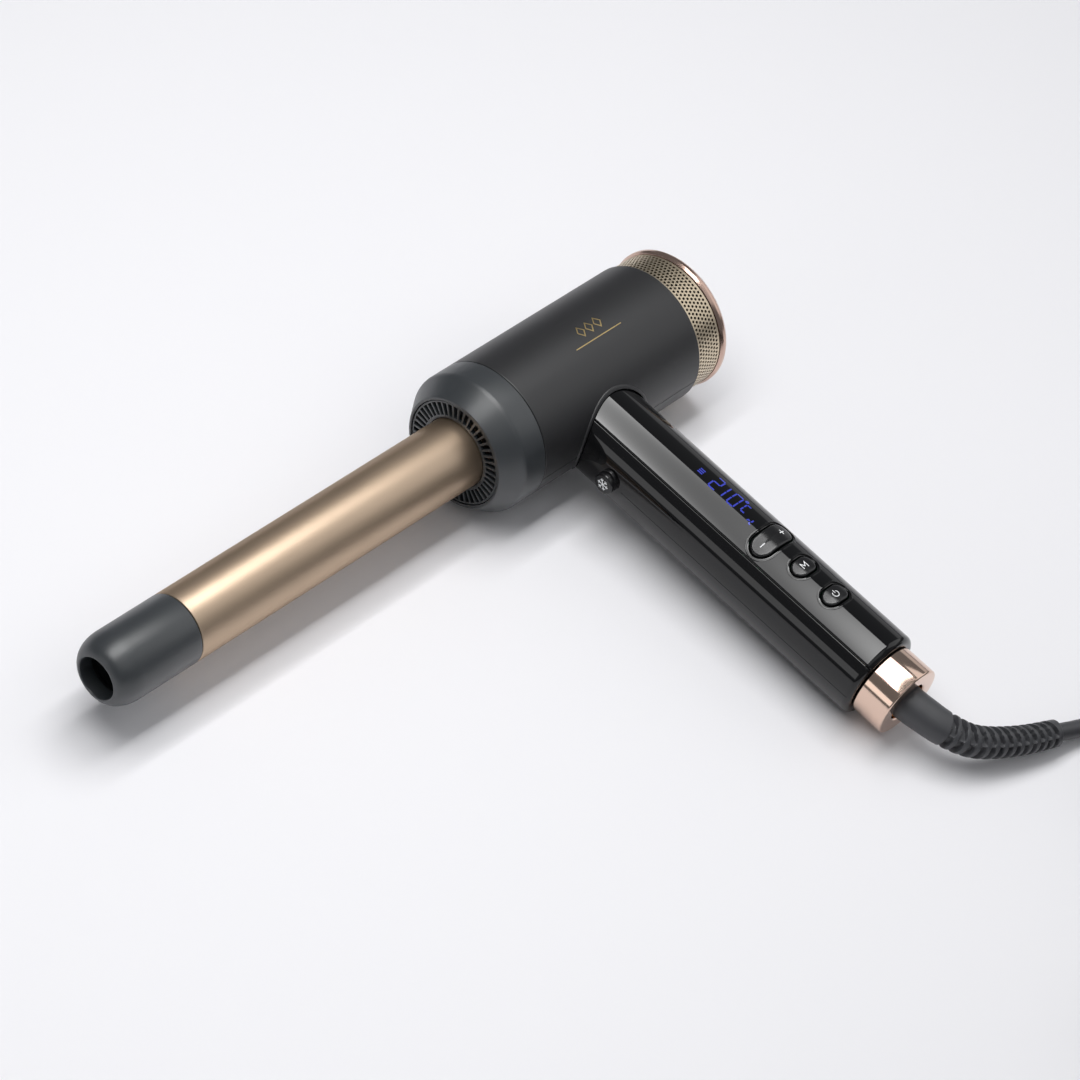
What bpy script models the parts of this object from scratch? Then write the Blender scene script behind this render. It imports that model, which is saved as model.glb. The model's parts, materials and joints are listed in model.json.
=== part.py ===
"""Cool-air curling wand, lying on its side with its cord coiled beside it.

Units are metres and +Z is up.  The wand is modelled square to its own axes: the barrel points
to -X, the handle to -Y, and the keys face +Z.  One empty then tilts it, so that the housing and
the end of the handle both touch the table at z = 0.
"""
import math

import bmesh
import bpy
from mathutils import Matrix, Vector

# ---- driving dimensions -------------------------------------------------------------------
GAP = 0.0003                  # clearance between touching pieces
ROUND_STEPS = 44              # facets of a large round piece
SMALL_STEPS = 24              # facets of a small round piece

BARREL_RADIUS = 0.014         # 28 mm styling barrel
BARREL_WALL = 0.0014
TIP_FACE_X = -0.2403
CAP_SEAM_X = -0.2018
TIP_HOLE_RADIUS = 0.00835
NOSE_INSET = 0.0058             # how far the tip's rounded nose draws in
NOSE_LENGTH = 0.0105            # how far back from the tip it starts
BARREL_REAR_X = -0.036

HOUSING_RADIUS = 0.0284
HOUSING_WALL = 0.0020
GRILLE_FACE_X = -0.0582
GRILLE_RADIUS = 0.0219
GRILLE_SLOTS = 45
CONE_RIDGE_X = -0.0497
FRONT_SEAM_X = -0.0388
HOUSING_REAR_X = 0.0489
MESH_RADIUS = 0.0274
RIM_FRONT_X = 0.0616
RIM_REAR_X = 0.0656

HANDLE_RADIUS = 0.018
HANDLE_WALL = 0.0018
HANDLE_TOP = 0.0205           # distance from the barrel axis, inside the housing
HANDLE_END = 0.1675
HANDLE_EDGE = 0.0025          # rounding of the handle's end
SHELL_SPLIT = math.radians(48.0)      # half angle of the front shell
NOTCH_BOTTOM = 0.0492
COLLAR_RADIUS = 0.0148
COLLAR_END = 0.1815
SOCKET_RADIUS = 0.0082

ROCKER_AT = 0.1055            # places of the keys along the handle
MODE_AT = 0.1215
POWER_AT = 0.1375
COOL_AT = 0.0432
KEY_CROWN_RADIUS = 0.0183
KEY_FOOT_Z = 0.0126
BOARD_TOP_Z = 0.0100
KEY_OPENINGS = [
    # name, distance down the handle, half length across, half width along
    ("rocker", ROCKER_AT, 0.0113, 0.0062),
    ("mode", MODE_AT, 0.0070, 0.0053),
    ("power", POWER_AT, 0.0074, 0.0053),
]
KEY_RIM = 0.0014              # width of the recessed ring round a key

CORD_RADIUS = 0.0034

# The coil is a ring-shaped bundle of nine strands; angles are measured from outward toward down.
COIL_CENTRE = (0.0997, -0.2863)         # in the wand's frame, across and along the handle
COIL_RADIUS = 0.0415                    # from the coil's centre to the bundle's
STRAND_RADIUS = 0.0101                  # from the bundle's centre to a strand's
BUNDLE_HEIGHT = 0.0138                  # the bundle's centre above the table
COIL_ENTRY_ANGLE = math.radians(50)
COIL_EXIT_ANGLE = math.radians(30)

# The boot and the cord's first stretch, from the mouth of the collar, in the wand's resting frame.
BOOT_KNOTS = [
    (0.0, 0.0, 0.0),
    (0.0001, -0.0030, -0.0002),
    (0.0010, -0.0080, -0.0008),
    (0.0031, -0.0167, -0.0019),
    (0.0078, -0.0254, -0.0036),
    (0.0154, -0.0311, -0.0053),
    (0.0277, -0.0369, -0.0073),
    (0.0429, -0.0420, -0.0094),
]
BOOT_START_RADIUS = 0.0071
BOOT_END_RADIUS = 0.0052
CORD_DROP_KNOTS = [
    (0.0532, -0.0454, -0.0110),
    (0.0640, -0.0495, -0.0124),
]

PLUG_LENGTH = 0.0460
PLUG_WIDTH = 0.0500
PLUG_DEPTH = 0.0210
PLUG_ENTRY_Z = 0.0105
TAIL_LENGTH = 0.0400
GRIP_LENGTH = 0.0160
PIN_SINK = 0.0040
PINS = [
    # name, from the cord's side, sideways, size along, size across, length above the face
    ("plug_pin_live", 0.0125, 0.0111, 0.0040, 0.00635, 0.0177),
    ("plug_pin_neutral", 0.0125, -0.0111, 0.0040, 0.00635, 0.0177),
    ("plug_pin_earth", 0.0347, 0.0, 0.00795, 0.0040, 0.0227),
]

# The wand rests on the housing and on the edge of the handle's end.
REACH = HANDLE_END - HANDLE_EDGE
REST_TILT = math.asin(HOUSING_RADIUS / math.hypot(REACH, HANDLE_RADIUS)) - math.atan(HANDLE_RADIUS / REACH)
BOX_BACK_Y = -COLLAR_END * math.cos(REST_TILT) - COLLAR_RADIUS * math.sin(REST_TILT)
REST_PLACE = (
    -(TIP_FACE_X + RIM_REAR_X) / 2,
    -(BOX_BACK_Y + HOUSING_RADIUS) / 2,
    HOUSING_RADIUS,
)

# Colour, metallic and roughness of each finish.
FINISHES = {
    "champagne_aluminium": ((0.56, 0.43, 0.31), 1.0, 0.38),
    "rose_gold": ((0.78, 0.54, 0.43), 1.0, 0.12),
    "gold_mesh": ((0.62, 0.50, 0.36), 1.0, 0.30),
    "soft_charcoal": ((0.030, 0.030, 0.033), 0.0, 0.55),
    "slate_plastic": ((0.045, 0.050, 0.054), 0.0, 0.50),
    "gloss_black": ((0.004, 0.004, 0.005), 0.0, 0.06),
    "matte_black": ((0.008, 0.008, 0.009), 0.0, 0.60),
    "key_black": ((0.012, 0.012, 0.013), 0.0, 0.25),
    "cord_rubber": ((0.030, 0.031, 0.033), 0.0, 0.50),
    "ceramic_white": ((0.75, 0.73, 0.68), 0.0, 0.60),
    "plain_aluminium": ((0.70, 0.70, 0.70), 1.0, 0.35),
    "steel": ((0.55, 0.55, 0.55), 1.0, 0.30),
    "brass": ((0.72, 0.53, 0.24), 1.0, 0.30),
    "board_green": ((0.02, 0.14, 0.06), 0.0, 0.50),
    "foam_grey": ((0.06, 0.06, 0.06), 0.0, 0.95),
    "lead_red": ((0.45, 0.03, 0.02), 0.0, 0.45),
}


# ---- scene and helpers --------------------------------------------------------------------
def clear_scene():
    for item in list(bpy.data.objects):
        bpy.data.objects.remove(item, do_unlink=True)


def collection(name):
    made = bpy.data.collections.new(name)
    bpy.context.scene.collection.children.link(made)
    return made


def frame_empty(name, parent, location, rotation):
    empty = bpy.data.objects.new(name, None)
    empty.location = location
    empty.rotation_euler = rotation
    empty.parent = parent
    PARTS.objects.link(empty)
    return empty


def material(slot):
    made = bpy.data.materials.get(slot)
    if made is None:
        colour, metallic, roughness = FINISHES[slot]
        made = bpy.data.materials.new(slot)
        made.use_nodes = True
        shader = made.node_tree.nodes["Principled BSDF"]
        shader.inputs["Base Color"].default_value = (*colour, 1.0)
        shader.inputs["Metallic"].default_value = metallic
        shader.inputs["Roughness"].default_value = roughness
    return made


def place(name, data, parent, slot, location=(0, 0, 0), rotation=(0, 0, 0)):
    """Put a mesh or curve in the scene as a sub-part."""
    item = bpy.data.objects.new(name, data)
    item.parent = parent
    item.location = location
    item.rotation_euler = rotation
    item.data.materials.append(material(slot))
    PARTS.objects.link(item)
    return item


def place_cutter(name, data, parent, location=(0, 0, 0), rotation=(0, 0, 0)):
    """Put a closed mesh in the scene as a cutter, which isn't a sub-part."""
    item = bpy.data.objects.new(name, data)
    item.parent = parent
    item.location = location
    item.rotation_euler = rotation
    item.hide_render = True
    item.display_type = "WIRE"
    CUTTERS.objects.link(item)
    return item


def boolean(item, cutter, operation="DIFFERENCE"):
    step = item.modifiers.new(operation.lower() + "_" + cutter.name, "BOOLEAN")
    step.object = cutter
    step.operation = operation
    step.solver = "EXACT"


def spin(item, steps):
    """Turn the object's profile once round its own Z axis."""
    screw = item.modifiers.new("spin", "SCREW")
    screw.axis = "Z"
    screw.angle = 2 * math.pi
    screw.steps = steps
    screw.render_steps = steps
    screw.use_merge_vertices = True
    screw.merge_threshold = 0.00001
    screw.use_smooth_shade = True


def profile_mesh(points, closed):
    """A profile of (radius, height) pairs, whose outer side runs from top to bottom."""
    mesh = bpy.data.meshes.new("profile")
    vertices = [(radius, 0.0, height) for radius, height in points]
    edges = [(index, index + 1) for index in range(len(points) - 1)]
    if closed:
        edges.append((len(points) - 1, 0))
    mesh.from_pydata(vertices, edges, [])
    return mesh


def turned(name, points, parent, slot, location=(0, 0, 0), steps=ROUND_STEPS, rotation=(0, 0, 0)):
    closed = points[0][0] > 0
    item = place(name, profile_mesh(points, closed), parent, slot, location, rotation)
    spin(item, steps)
    return item


def turned_cutter(name, points, parent, location=(0, 0, 0), steps=ROUND_STEPS, rotation=(0, 0, 0)):
    closed = points[0][0] > 0
    item = place_cutter(name, profile_mesh(points, closed), parent, location, rotation)
    spin(item, steps)
    return item


def ring(outer, inner, low, high):
    return [(outer, high), (outer, low), (inner, low), (inner, high)]


def rod(radius, low, high):
    return [(0.0, high), (radius, high), (radius, low), (0.0, low)]


def arc(centre, radius, start, end, count):
    """Points on an arc; angles in degrees from the first axis."""
    angles = [math.radians(start + (end - start) * step / count) for step in range(count + 1)]
    return [(centre[0] + radius * math.cos(angle), centre[1] + radius * math.sin(angle)) for angle in angles]


def stadium(half_length, half_width, count=8):
    """A slot outline with round ends, its length along the first axis."""
    middle = half_length - half_width
    right = arc((middle, 0.0), half_width, -90, 90, count)
    left = arc((-middle, 0.0), half_width, 90, 270, count)
    return right + left


def extruded_mesh(outlines, low, high):
    """A flat shape of closed outlines in the XY plane, thickened from low to high."""
    curve = bpy.data.curves.new("outline", "CURVE")
    curve.dimensions = "2D"
    curve.fill_mode = "BOTH"
    curve.extrude = (high - low) / 2
    for outline in outlines:
        spline = curve.splines.new("POLY")
        spline.points.add(len(outline) - 1)
        for point, (x, y) in zip(spline.points, outline):
            point.co = (x, y, 0.0, 1.0)
        spline.use_cyclic_u = True
    holder = bpy.data.objects.new("outline", curve)
    CUTTERS.objects.link(holder)
    bpy.context.view_layer.update()
    graph = bpy.context.evaluated_depsgraph_get()
    mesh = bpy.data.meshes.new_from_object(holder.evaluated_get(graph))
    bpy.data.objects.remove(holder, do_unlink=True)
    mesh.transform(Matrix.Translation((0.0, 0.0, (low + high) / 2)))
    shape = bmesh.new()
    shape.from_mesh(mesh)
    bmesh.ops.remove_doubles(shape, verts=shape.verts, dist=0.000005)
    bmesh.ops.recalc_face_normals(shape, faces=shape.faces)
    shape.to_mesh(mesh)
    shape.free()
    mesh.materials.clear()
    return mesh


def box_mesh(size, centre=(0, 0, 0)):
    shape = bmesh.new()
    bmesh.ops.create_cube(shape, size=1.0)
    bmesh.ops.scale(shape, vec=Vector(size), verts=shape.verts)
    bmesh.ops.translate(shape, vec=Vector(centre), verts=shape.verts)
    mesh = bpy.data.meshes.new("box")
    shape.to_mesh(mesh)
    shape.free()
    return mesh


def bevel(item, width, segments=2):
    step = item.modifiers.new("soft_edges", "BEVEL")
    step.width = width
    step.segments = segments
    step.limit_method = "ANGLE"
    step.angle_limit = math.radians(40)


def tube(name, points, radius, parent, slot, scales=None):
    """A round wire or cord through the points, with closed ends."""
    curve = bpy.data.curves.new(name, "CURVE")
    curve.dimensions = "3D"
    curve.bevel_depth = radius
    curve.bevel_resolution = 2
    curve.use_fill_caps = True
    spline = curve.splines.new("POLY")
    spline.points.add(len(points) - 1)
    for index, point in enumerate(points):
        spline.points[index].co = (*point, 1.0)
        spline.points[index].radius = scales[index] if scales else 1.0
    return place(name, curve, parent, slot)


def smooth_route(knots, spacing):
    """Points about one spacing apart on a smooth curve through all the knots."""
    knots = [Vector(knot) for knot in knots]
    padded = [2 * knots[0] - knots[1]] + knots + [2 * knots[-1] - knots[-2]]
    route = [knots[0]]
    for index in range(1, len(padded) - 2):
        before, start, end, after = padded[index - 1:index + 3]
        count = max(1, round((end - start).length / spacing))
        for step in range(1, count + 1):
            t = step / count
            route.append(0.5 * (
                2 * start
                + (end - before) * t
                + (2 * before - 5 * start + 4 * end - after) * t * t
                + (3 * start - before - 3 * end + after) * t * t * t
            ))
    return route


# ---- barrel -------------------------------------------------------------------------------
def make_barrel():
    inner = BARREL_RADIUS - BARREL_WALL
    edge = 0.0003
    turned("barrel_tube", [
        (BARREL_RADIUS, BARREL_REAR_X),
        (BARREL_RADIUS, CAP_SEAM_X + edge),
        (BARREL_RADIUS - edge, CAP_SEAM_X),
        (inner, CAP_SEAM_X),
        (inner, BARREL_REAR_X),
    ], BARREL, "champagne_aluminium")

    nose = [(BARREL_RADIUS - NOSE_INSET * (1 - math.cos(turn)), TIP_FACE_X + NOSE_LENGTH * (1 - math.sin(turn)))
            for turn in [math.radians(13 * k) for k in range(7)]]
    lip = [(TIP_HOLE_RADIUS + 0.0006, TIP_FACE_X), (TIP_HOLE_RADIUS, TIP_FACE_X + 0.0006)]
    bore = [
        (TIP_HOLE_RADIUS, TIP_FACE_X + 0.006),
        (0.0105, TIP_FACE_X + 0.009),
        (0.0105, CAP_SEAM_X + 0.005),
    ]
    spigot = [
        (inner - GAP, CAP_SEAM_X + 0.005),
        (inner - GAP, CAP_SEAM_X - GAP),
        (BARREL_RADIUS - edge, CAP_SEAM_X - GAP),
        (BARREL_RADIUS, CAP_SEAM_X - GAP - edge),
    ]
    turned("cool_tip", spigot + nose + lip + bore, BARREL, "slate_plastic", steps=40)

    turned("tip_insulator", ring(inner - GAP, 0.0022, CAP_SEAM_X + 0.0056, CAP_SEAM_X + 0.0086), BARREL,
           "ceramic_white", steps=SMALL_STEPS)


def make_heater():
    """Two half-round aluminium spreaders that squeeze a flat ceramic heater."""
    radius = BARREL_RADIUS - BARREL_WALL - GAP
    slot = 0.0020
    low = CAP_SEAM_X + 0.014
    high = -0.062
    start = math.degrees(math.asin(slot / radius))
    half_moon = arc((0.0, 0.0), radius, start, 180 - start, 16)
    spreader = extruded_mesh([half_moon], low, high)
    place("heat_spreader_front", spreader, BARREL, "plain_aluminium")
    place("heat_spreader_back", spreader.copy(), BARREL, "plain_aluminium", rotation=(0, 0, math.pi))
    strip = place("heater_strip", box_mesh((0.016, 0.0034, high - low - 0.010), (0, 0, (low + high) / 2)),
                  BARREL, "ceramic_white")
    bevel(strip, 0.0004, 1)
    turned("thermal_fuse", rod(0.0019, -0.0590, -0.0480), BARREL, "steel", (0.0, 0.0070, 0.0), 16)

    for name, side, slot_name in (("heater_lead_live", 1, "lead_red"), ("heater_lead_neutral", -1, "ceramic_white")):
        knots = [
            (-0.0640, 0.0, side * 0.0045),
            (-0.0500, -0.0010, side * 0.0052),
            (-0.0340, -0.0035, side * 0.0060),
            (-0.0220, -0.0080, side * 0.0060),
            (-0.0120, -0.0160, side * 0.0050),
            (-0.0090, -0.0300, side * 0.0040),
            (-0.0085, -0.0480, side * 0.0025),
            (-0.0080, -0.0600, side * 0.0025 - 0.0040),
        ]
        tube(name, smooth_route(knots, 0.0070), 0.0009, REST, slot_name)


def make_barrel_mount():
    """A hub on three spokes that carries the barrel in the front of the housing."""
    hub = turned("barrel_mount", ring(0.0172, BARREL_RADIUS + GAP, -0.0540, -0.0400), BARREL, "matte_black",
                 steps=SMALL_STEPS)
    outer = turned_cutter("mount_outer_ring", ring(0.0256, 0.0238, -0.0460, -0.0400), BARREL, steps=SMALL_STEPS)
    boolean(hub, outer, "UNION")
    for index in range(3):
        angle = math.radians(30 + 120 * index)
        spoke = place_cutter("mount_spoke_%d" % (index + 1), box_mesh((0.0084, 0.0030, 0.0050), (0.0205, 0, -0.0430)),
                             BARREL, rotation=(0, 0, angle))
        boolean(hub, spoke, "UNION")


# ---- housing ------------------------------------------------------------------------------
def make_front_grille():
    """A flat ring of radial slots that blows cool air along the barrel."""
    inner = BARREL_RADIUS + GAP
    outer = GRILLE_RADIUS - 0.0006
    outlines = [arc((0, 0), outer, 0, 360 - 360 / 90, 89), arc((0, 0), inner, 0, 360 - 360 / 45, 44)]
    pitch = 360 / GRILLE_SLOTS
    slot_low = inner + 0.0012
    slot_high = outer - 0.0007
    opening = 0.66
    for index in range(GRILLE_SLOTS):
        start = pitch * index
        end = start + pitch * opening
        outlines.append(arc((0, 0), slot_low, start, end, 1) + arc((0, 0), slot_high, end, start, 1))
    grille = extruded_mesh(outlines, GRILLE_FACE_X + 0.0003, GRILLE_FACE_X + 0.0021)
    place("front_grille", grille, BARREL, "slate_plastic")


def make_front_shell():
    cone_start = GRILLE_RADIUS + 0.0006
    ridge = arc((HOUSING_RADIUS - 0.006, CONE_RIDGE_X + 0.0015), 0.006, 0, -42, 3)
    outside = [(HOUSING_RADIUS - 0.0003, FRONT_SEAM_X - 0.0002), (HOUSING_RADIUS, FRONT_SEAM_X - 0.0006)] + ridge
    rim = [
        (cone_start, GRILLE_FACE_X),
        (GRILLE_RADIUS, GRILLE_FACE_X - 0.0002),
        (GRILLE_RADIUS - 0.0003, GRILLE_FACE_X + 0.0002),
        (GRILLE_RADIUS - 0.0003, GRILLE_FACE_X + 0.0030),
    ]
    inside = [(HOUSING_RADIUS - 0.0024, CONE_RIDGE_X + 0.0020), (HOUSING_RADIUS - 0.0024, FRONT_SEAM_X - 0.0002)]
    turned("front_shell", outside + rim + inside, BARREL, "slate_plastic")


def handle_opening_cutter(name, radius):
    return turned_cutter(name, rod(radius, 0.0100, 0.0400), HANDLE)


def make_main_housing():
    inner = HOUSING_RADIUS - HOUSING_WALL
    edge = 0.0003
    housing = turned("main_housing", [
        (HOUSING_RADIUS - edge, HOUSING_REAR_X),
        (HOUSING_RADIUS, HOUSING_REAR_X - edge),
        (HOUSING_RADIUS, FRONT_SEAM_X + edge + 0.0001),
        (HOUSING_RADIUS - edge, FRONT_SEAM_X + 0.0001),
        (inner, FRONT_SEAM_X + 0.0001),
        (inner, HOUSING_REAR_X),
    ], BARREL, "soft_charcoal")
    boolean(housing, handle_opening_cutter("handle_opening", HANDLE_RADIUS + 0.0014))
    groove_size = (0.0004, 0.0008, HOUSING_REAR_X - FRONT_SEAM_X + 0.0100)
    groove_centre = (0.0, -HOUSING_RADIUS, (HOUSING_REAR_X + FRONT_SEAM_X) / 2)
    boolean(housing, place_cutter("underside_groove", box_mesh(groove_size, groove_centre), BARREL))


def make_arch_rim():
    """The thin raised rim round the handle's entry; it follows the housing's curve."""
    rim = turned("arch_rim", ring(HANDLE_RADIUS + 0.0011, HANDLE_RADIUS + GAP, 0.0150, 0.0300), HANDLE, "soft_charcoal")
    shell = turned_cutter("arch_rim_shell", ring(HOUSING_RADIUS + 0.0005, HOUSING_RADIUS - HOUSING_WALL, -0.03, 0.03),
                          BARREL)
    boolean(rim, shell, "INTERSECT")


def make_fan():
    turned("fan_motor", [
        (0.0, 0.0280), (0.0035, 0.0280), (0.0035, 0.0260), (0.0092, 0.0260), (0.0100, 0.0252),
        (0.0100, 0.0068), (0.0092, 0.0060), (0.0, 0.0060),
    ], BARREL, "steel", steps=SMALL_STEPS)

    mount = turned("motor_mount", ring(0.0124, 0.0103, 0.0184, 0.0238), BARREL, "matte_black", steps=SMALL_STEPS)
    outer = turned_cutter("motor_mount_ring", ring(0.0261, 0.0243, 0.0184, 0.0238), BARREL, steps=SMALL_STEPS)
    boolean(mount, outer, "UNION")
    for index in range(3):
        angle = math.radians(60 + 120 * index)
        spoke = place_cutter("motor_spoke_%d" % (index + 1), box_mesh((0.0130, 0.0024, 0.0044), (0.0184, 0, 0.0211)),
                             BARREL, rotation=(0, 0, angle))
        boolean(mount, spoke, "UNION")

    turned("fan_shaft", rod(0.0010, 0.0283, 0.0420), BARREL, "steel", steps=12)

    hub = turned("fan_impeller", [
        (0.0060, 0.0410), (0.0075, 0.0395), (0.0075, 0.0310), (0.0013, 0.0310), (0.0013, 0.0410),
    ], BARREL, "matte_black", steps=SMALL_STEPS)
    for index in range(7):
        blade = place_cutter("impeller_blade_%d" % (index + 1), box_mesh((0.0166, 0.0012, 0.0080), (0.0150, 0, 0)),
                             BARREL, (0, 0, 0.0355))
        blade.rotation_euler = (math.radians(35), 0, 2 * math.pi * index / 7)
        boolean(hub, blade, "UNION")


# ---- rear filter cap ----------------------------------------------------------------------
def make_filter_cap():
    """The mesh band, rim, back plate and foam pull off the back of the housing together."""
    front = HOUSING_REAR_X + GAP
    turned("filter_mesh", ring(MESH_RADIUS, MESH_RADIUS - 0.0008, front, RIM_FRONT_X - 0.0001), BARREL, "gold_mesh")
    turned("filter_frame", ring(MESH_RADIUS - 0.0011, 0.0215, front + 0.0018, front + 0.0034), BARREL, "matte_black",
           steps=SMALL_STEPS)
    turned("rear_rim", [
        (0.0262, RIM_REAR_X), (0.0276, RIM_REAR_X), (HOUSING_RADIUS, RIM_REAR_X - 0.0010),
        (HOUSING_RADIUS, RIM_FRONT_X + 0.0018), (0.0278, RIM_FRONT_X + 0.0010), (0.0276, RIM_FRONT_X + 0.0002),
        (0.0245, RIM_FRONT_X + 0.0002), (0.0245, RIM_REAR_X - 0.0022), (0.0262, RIM_REAR_X - 0.0022),
    ], BARREL, "rose_gold")
    plate_radius = 0.0262 - GAP
    outlines = [arc((0, 0), plate_radius, 0, 352.5, 47)]
    for radius_low, radius_high in ((0.0100, 0.0158), (0.0174, 0.0232)):
        for index in range(12):
            start = 30 * index
            outlines.append(arc((0, 0), radius_low, start, start + 18, 2)
                            + arc((0, 0), radius_high, start + 18, start, 2))
    place("rear_plate", extruded_mesh(outlines, RIM_REAR_X - 0.0019, RIM_REAR_X - 0.0003), BARREL, "matte_black")
    turned("filter_foam", rod(0.0250, 0.0560, RIM_FRONT_X - 0.0002), BARREL, "foam_grey", steps=SMALL_STEPS)
    turned("keeper_ring", ring(HOUSING_RADIUS - HOUSING_WALL - GAP, 0.0218, 0.0472, 0.0487), BARREL, "steel",
           steps=SMALL_STEPS)
    for index in range(3):
        angle = math.radians(90 + 120 * index)
        where = (0.0238 * math.cos(angle), 0.0238 * math.sin(angle), 0.0)
        turned("filter_magnet_%d" % (index + 1), rod(0.0018, front + 0.0002, front + 0.0015), BARREL, "steel",
               where, 12)


# ---- handle -------------------------------------------------------------------------------
def handle_tube_profile():
    inner = HANDLE_RADIUS - HANDLE_WALL
    edge = arc((HANDLE_RADIUS - HANDLE_EDGE, HANDLE_END - HANDLE_EDGE), HANDLE_EDGE, 90, 0, 4)
    return [(0.0125, HANDLE_END)] + edge + [
        (HANDLE_RADIUS, HANDLE_TOP),
        (inner, HANDLE_TOP),
        (inner, HANDLE_END - 0.0030),
        (0.0125, HANDLE_END - 0.0030),
    ]


def front_wedge_mesh(half_angle):
    """A prism whose corner lies on the handle's axis; it opens toward the barrel."""
    far = 0.040
    side = far * math.tan(half_angle)
    return extruded_mesh([[(0.0, 0.0), (-far, side), (-far, -side)]], 0.0, 0.2)


def notch_mesh():
    """The notch at the top of the front shell, as an outline across and along the handle."""
    right = [(0.0160, 0.0150), (0.0136, 0.0262), (0.0115, 0.0282), (0.0068, 0.0420)]
    foot = arc((0.0, NOTCH_BOTTOM - 0.0055), 0.0055, 15, 165, 8)
    left = [(-x, y) for x, y in reversed(right)]
    return extruded_mesh([right + foot + left], -0.030, -0.002)


def make_handle_shells():
    seam = 0.00025 / HANDLE_RADIUS
    rear = turned("handle_rear_shell", handle_tube_profile(), HANDLE, "gloss_black")
    boolean(rear, place_cutter("front_wedge_wide", front_wedge_mesh(SHELL_SPLIT + seam), HANDLE))
    for name, where, half_length, half_width in KEY_OPENINGS:
        opening = extruded_mesh([stadium(half_length, half_width)], 0.011, 0.022)
        boolean(rear, place_cutter(name + "_opening", opening, REST, (0, -where, 0)))

    front = turned("handle_front_shell", handle_tube_profile(), HANDLE, "gloss_black")
    boolean(front, place_cutter("front_wedge", front_wedge_mesh(SHELL_SPLIT), HANDLE), "INTERSECT")
    # The notch outline lies across the barrel axis: its first axis is the wand's Z.
    turn_notch = Matrix(((0, 0, 1, 0), (1, 0, 0, 0), (0, 1, 0, 0), (0, 0, 0, 1)))
    notch = notch_mesh()
    notch.transform(turn_notch)
    boolean(front, place_cutter("front_notch", notch, HANDLE))
    groove = box_mesh((0.0010, 0.0003, 0.1400), (-HANDLE_RADIUS, 0, 0.1080))
    boolean(front, place_cutter("front_centre_groove", groove, HANDLE))


def make_handle_neck():
    """The dark inner tube that joins the handle to the housing and guides the cool key."""
    outer = HANDLE_RADIUS - HANDLE_WALL - GAP
    neck = turned("handle_neck", ring(outer, outer - 0.0020, HANDLE_TOP, 0.0560), HANDLE, "matte_black", steps=40)
    hole = turned_cutter("cool_key_hole", rod(0.0047, -0.0200, -0.0100), BARREL, (0, -COOL_AT, 0), SMALL_STEPS)
    boolean(neck, hole)


def make_keys():
    crown = turned_cutter("key_crown", rod(KEY_CROWN_RADIUS, 0.080, 0.150), HANDLE)
    ring_shell = turned_cutter("key_ring_shell", ring(HANDLE_RADIUS - 0.0005, HANDLE_RADIUS - 0.0011, 0.080, 0.150),
                               HANDLE)
    names = {"rocker": "temperature_rocker", "mode": "mode_key", "power": "power_key"}
    for name, where, half_length, half_width in KEY_OPENINGS:
        outside = stadium(half_length - GAP, half_width - GAP)
        inside = stadium(half_length - GAP - KEY_RIM + 0.0004, half_width - GAP - KEY_RIM + 0.0004)
        bezel = place(name + "_bezel", extruded_mesh([outside, inside], 0.0090, 0.0200), REST, "matte_black",
                      (0, -where, 0))
        boolean(bezel, ring_shell, "INTERSECT")
        cap = stadium(half_length - KEY_RIM - GAP, half_width - KEY_RIM - GAP)
        key = place(names[name], extruded_mesh([cap], KEY_FOOT_Z, 0.0200), REST, "key_black", (0, -where, 0))
        boolean(key, crown, "INTERSECT")


def make_cool_key():
    """The round cool-shot key under the first finger, with a keeper flange below its cap."""
    cap_radius = 0.0043
    cap = arc((cap_radius - 0.0010, -0.0200), 0.0010, 0, -90, 3)
    profile = [(0.0, -0.0146), (0.0040, -0.0146), (0.0040, -0.0176), (cap_radius, -0.0176)] + cap + [(0.0, -0.0210)]
    key = turned("cool_key", profile, BARREL, "key_black", (0, -COOL_AT, 0), SMALL_STEPS)
    flange = place_cutter("cool_key_flange", extruded_mesh([stadium(0.0055, 0.0034)], -0.0189, -0.0177), BARREL,
                          (0, -COOL_AT, 0))
    boolean(key, flange, "UNION")


def switch_mesh():
    """A low push switch: a square body with a round plunger on it."""
    return extruded_mesh([stadium(0.0030, 0.0022, 4)], 0.0, 0.0012)


def make_electronics():
    board_low = BOARD_TOP_Z - 0.0016
    place("control_board", box_mesh((0.0240, 0.0900, 0.0016), (0, -0.1060, board_low + 0.0008)), REST, "board_green")
    place("display_module", box_mesh((0.0170, 0.0320, 0.0026), (0, -0.0820, BOARD_TOP_Z + GAP + 0.0013)), REST,
          "key_black")
    switch_z = BOARD_TOP_Z + GAP
    switches = [
        ("switch_plus", 0.0068, ROCKER_AT),
        ("switch_minus", -0.0068, ROCKER_AT),
        ("switch_mode", 0.0, MODE_AT),
        ("switch_power", 0.0, POWER_AT),
    ]
    for name, across, where in switches:
        place(name, switch_mesh(), REST, "steel", (across, -where, switch_z))
    place("cool_switch", switch_mesh(), BARREL, "steel", (0, -COOL_AT, -0.0128))
    place("power_board", box_mesh((0.0230, 0.0880, 0.0016), (0, -0.1060, -0.0080)), REST, "board_green")
    turned("mains_capacitor", rod(0.0048, 0.070, 0.088), HANDLE, "lead_red", (0.0040, -0.0020, 0), 20)
    block = place("power_transformer", box_mesh((0.0150, 0.0180, 0.0100), (0, -0.1120, -0.0018)), REST, "steel")
    bevel(block, 0.0006, 1)


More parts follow.
